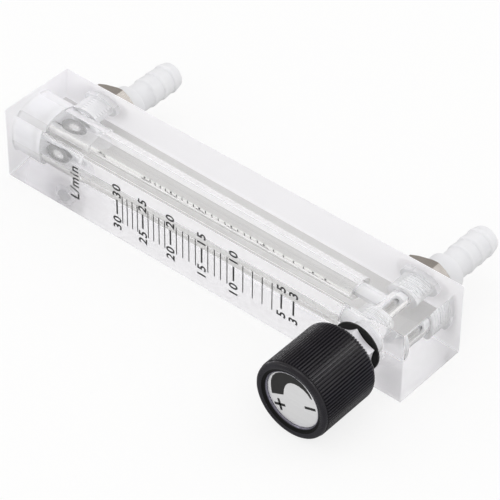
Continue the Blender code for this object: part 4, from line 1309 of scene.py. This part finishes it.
# %% Scale on the front face
NUMBERED = {30: 44.85, 25: 54.9, 20: 65.6, 15: 77.5, 10: 89.45, 5: 107.1, 3: 111.5}
BETWEEN = [
    46.95, 48.83, 50.83, 52.8, 57.0, 59.1, 61.2, 63.4, 67.9, 70.3, 72.65, 75.15,
    79.85, 82.3, 84.6, 87.05, 92.95, 96.5, 100.1, 103.7,
]
LINE_LOW, LINE_HIGH, LINE_WIDTH = 7.05, 17.25, 0.34
DASH_LOW, DASH_HIGH, DASH_WIDTH = 9.45, 14.9, 0.62
DIGIT_HEIGHT, DIGIT_SHIFT = 3.1, 0.1
NUMBER_GAP, ONE_DIGIT_LESS = 3.3, 1.2  # from a dash's end to the middle of its number
UNIT_AT, UNIT_START, UNIT_HEIGHT = 29.5, 6.05, 3.4

# On the front face the words read upwards, and their tops point to the top end.
face_frame = Matrix.Translation((block_low.x, block_low.y, block_low.z)) @ Matrix((
    (0, -1, 0, 0), (0, 0, -1, 0), (1, 0, 0, 0), (0, 0, 0, 1),
))
shape = bmesh.new()
for along in BETWEEN:
    slab(shape, bar_outline(
        LINE_LOW * MM, LINE_HIGH * MM, -(along + LINE_WIDTH / 2) * MM, -(along - LINE_WIDTH / 2) * MM,
    ), face_frame)
for number, along in NUMBERED.items():
    slab(shape, bar_outline(
        DASH_LOW * MM, DASH_HIGH * MM, -(along + DASH_WIDTH / 2) * MM, -(along - DASH_WIDTH / 2) * MM,
    ), face_frame)
    base = -(along + DIGIT_HEIGHT / 2 - DIGIT_SHIFT) * MM
    reach = NUMBER_GAP if number > 9 else NUMBER_GAP - ONE_DIGIT_LESS
    for spot in (DASH_LOW - reach, DASH_HIGH + reach):
        lettering(shape, str(number), DIGIT_HEIGHT * MM, face_frame, centred_at=(spot * MM, base))
lettering(
    shape, "L/min", UNIT_HEIGHT * MM, face_frame,
    starts_at=(UNIT_START * MM, -UNIT_AT * MM), spacing=1.16, bold=0.026,
)
printed("printed_scale", shape, "root")

# %% [markdown]
# ### The knob's arrow
# A black crescent swells from a point near the minus to a broad end near the plus, to show
# which way opens the valve. In the photo neither of its edges is quite a circle, so each is
# a short row of points, in millimetres from the disc's middle.

# %% Print on the disc
disc_frame = Matrix.Translation((valve_place.x, valve_place.y - plate_top, mid_z)) @ Matrix((
    (1, 0, 0, 0), (0, 0, -1, 0), (0, 1, 0, 0), (0, 0, 0, 1),
))
OUTER_EDGE = [
    (-7.4, -2.3), (-7.8, 0.1), (-7.85, 2.2), (-7.35, 4.2), (-6.2, 5.95), (-4.8, 7.1), (-3.1, 7.85),
    (-1.1, 8.25), (0.8, 8.2), (2.6, 7.7), (4.3, 6.7), (5.7, 5.35), (6.5, 4.05),
]
INNER_EDGE = [
    (6.0, 3.85), (4.8, 4.95), (3.4, 5.65), (1.9, 5.95), (0.4, 5.9), (-1.0, 5.45), (-2.1, 4.55), (-2.85, 3.25),
    (-3.25, 1.65), (-3.35, -0.4),
]
SIGN_ARM, SIGN_WIDTH, SIGN_TURN = 1.95, 0.85, math.radians(19)
PLUS_AT, MINUS_AT = (-4.5, -4.7), (5.9, 0.2)

shape = bmesh.new()
crescent = [(x * MM, y * MM) for x, y in OUTER_EDGE + INNER_EDGE]
slab(shape, crescent, disc_frame)
for (x, y), upright in ((PLUS_AT, True), (PLUS_AT, False), (MINUS_AT, False)):
    wide, tall = (SIGN_WIDTH / 2, SIGN_ARM) if upright else (SIGN_ARM, SIGN_WIDTH / 2)
    turned = disc_frame @ Matrix.Translation((x * MM, y * MM, 0)) @ Matrix.Rotation(SIGN_TURN, 4, "Z")
    slab(shape, bar_outline(-wide * MM, wide * MM, -tall * MM, tall * MM), turned)
printed("printed_arrow", shape, "knob")

# %% [markdown]
# ## What stays as packed
# The float stop, the valve seat, the knob's insert and its screw are hidden or nearly so.
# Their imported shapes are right, and they only get real finishes. The photo shows nothing of
# the float stop, so its nylon is clear and hardly bends light.

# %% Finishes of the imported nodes
brass = Finish("turned brass", Metallic=1.0)
turning = brass.noise(3000, detail=3, stretch=(0.3, 1, 0.3))
brass.set(
    Base_Color=brass.mix(turning, (0.70, 0.49, 0.22, 1), (0.82, 0.62, 0.32, 1)),
    Roughness=0.22 + turning * 0.15,
    Normal=brass.bump(turning, 0.1, 0.02 * MM),
)
HARDLY_BENDS = 1.02
clear_nylon = clear_plastic("clear nylon", 0.97, 0.02, 0.03, (0.99, 0.99, 0.99))
clear_nylon.shader.inputs["IOR"].default_value = HARDLY_BENDS
for node, finish in (
    ("float_stop", clear_nylon), ("valve_seat", painted_glow_nylon), ("knob_insert", brass), ("knob_screw", nickel),
):
    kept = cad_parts[node].data.materials
    kept.clear()
    kept.append(finish.material)
    print(node, "is finished in", finish.material.name)
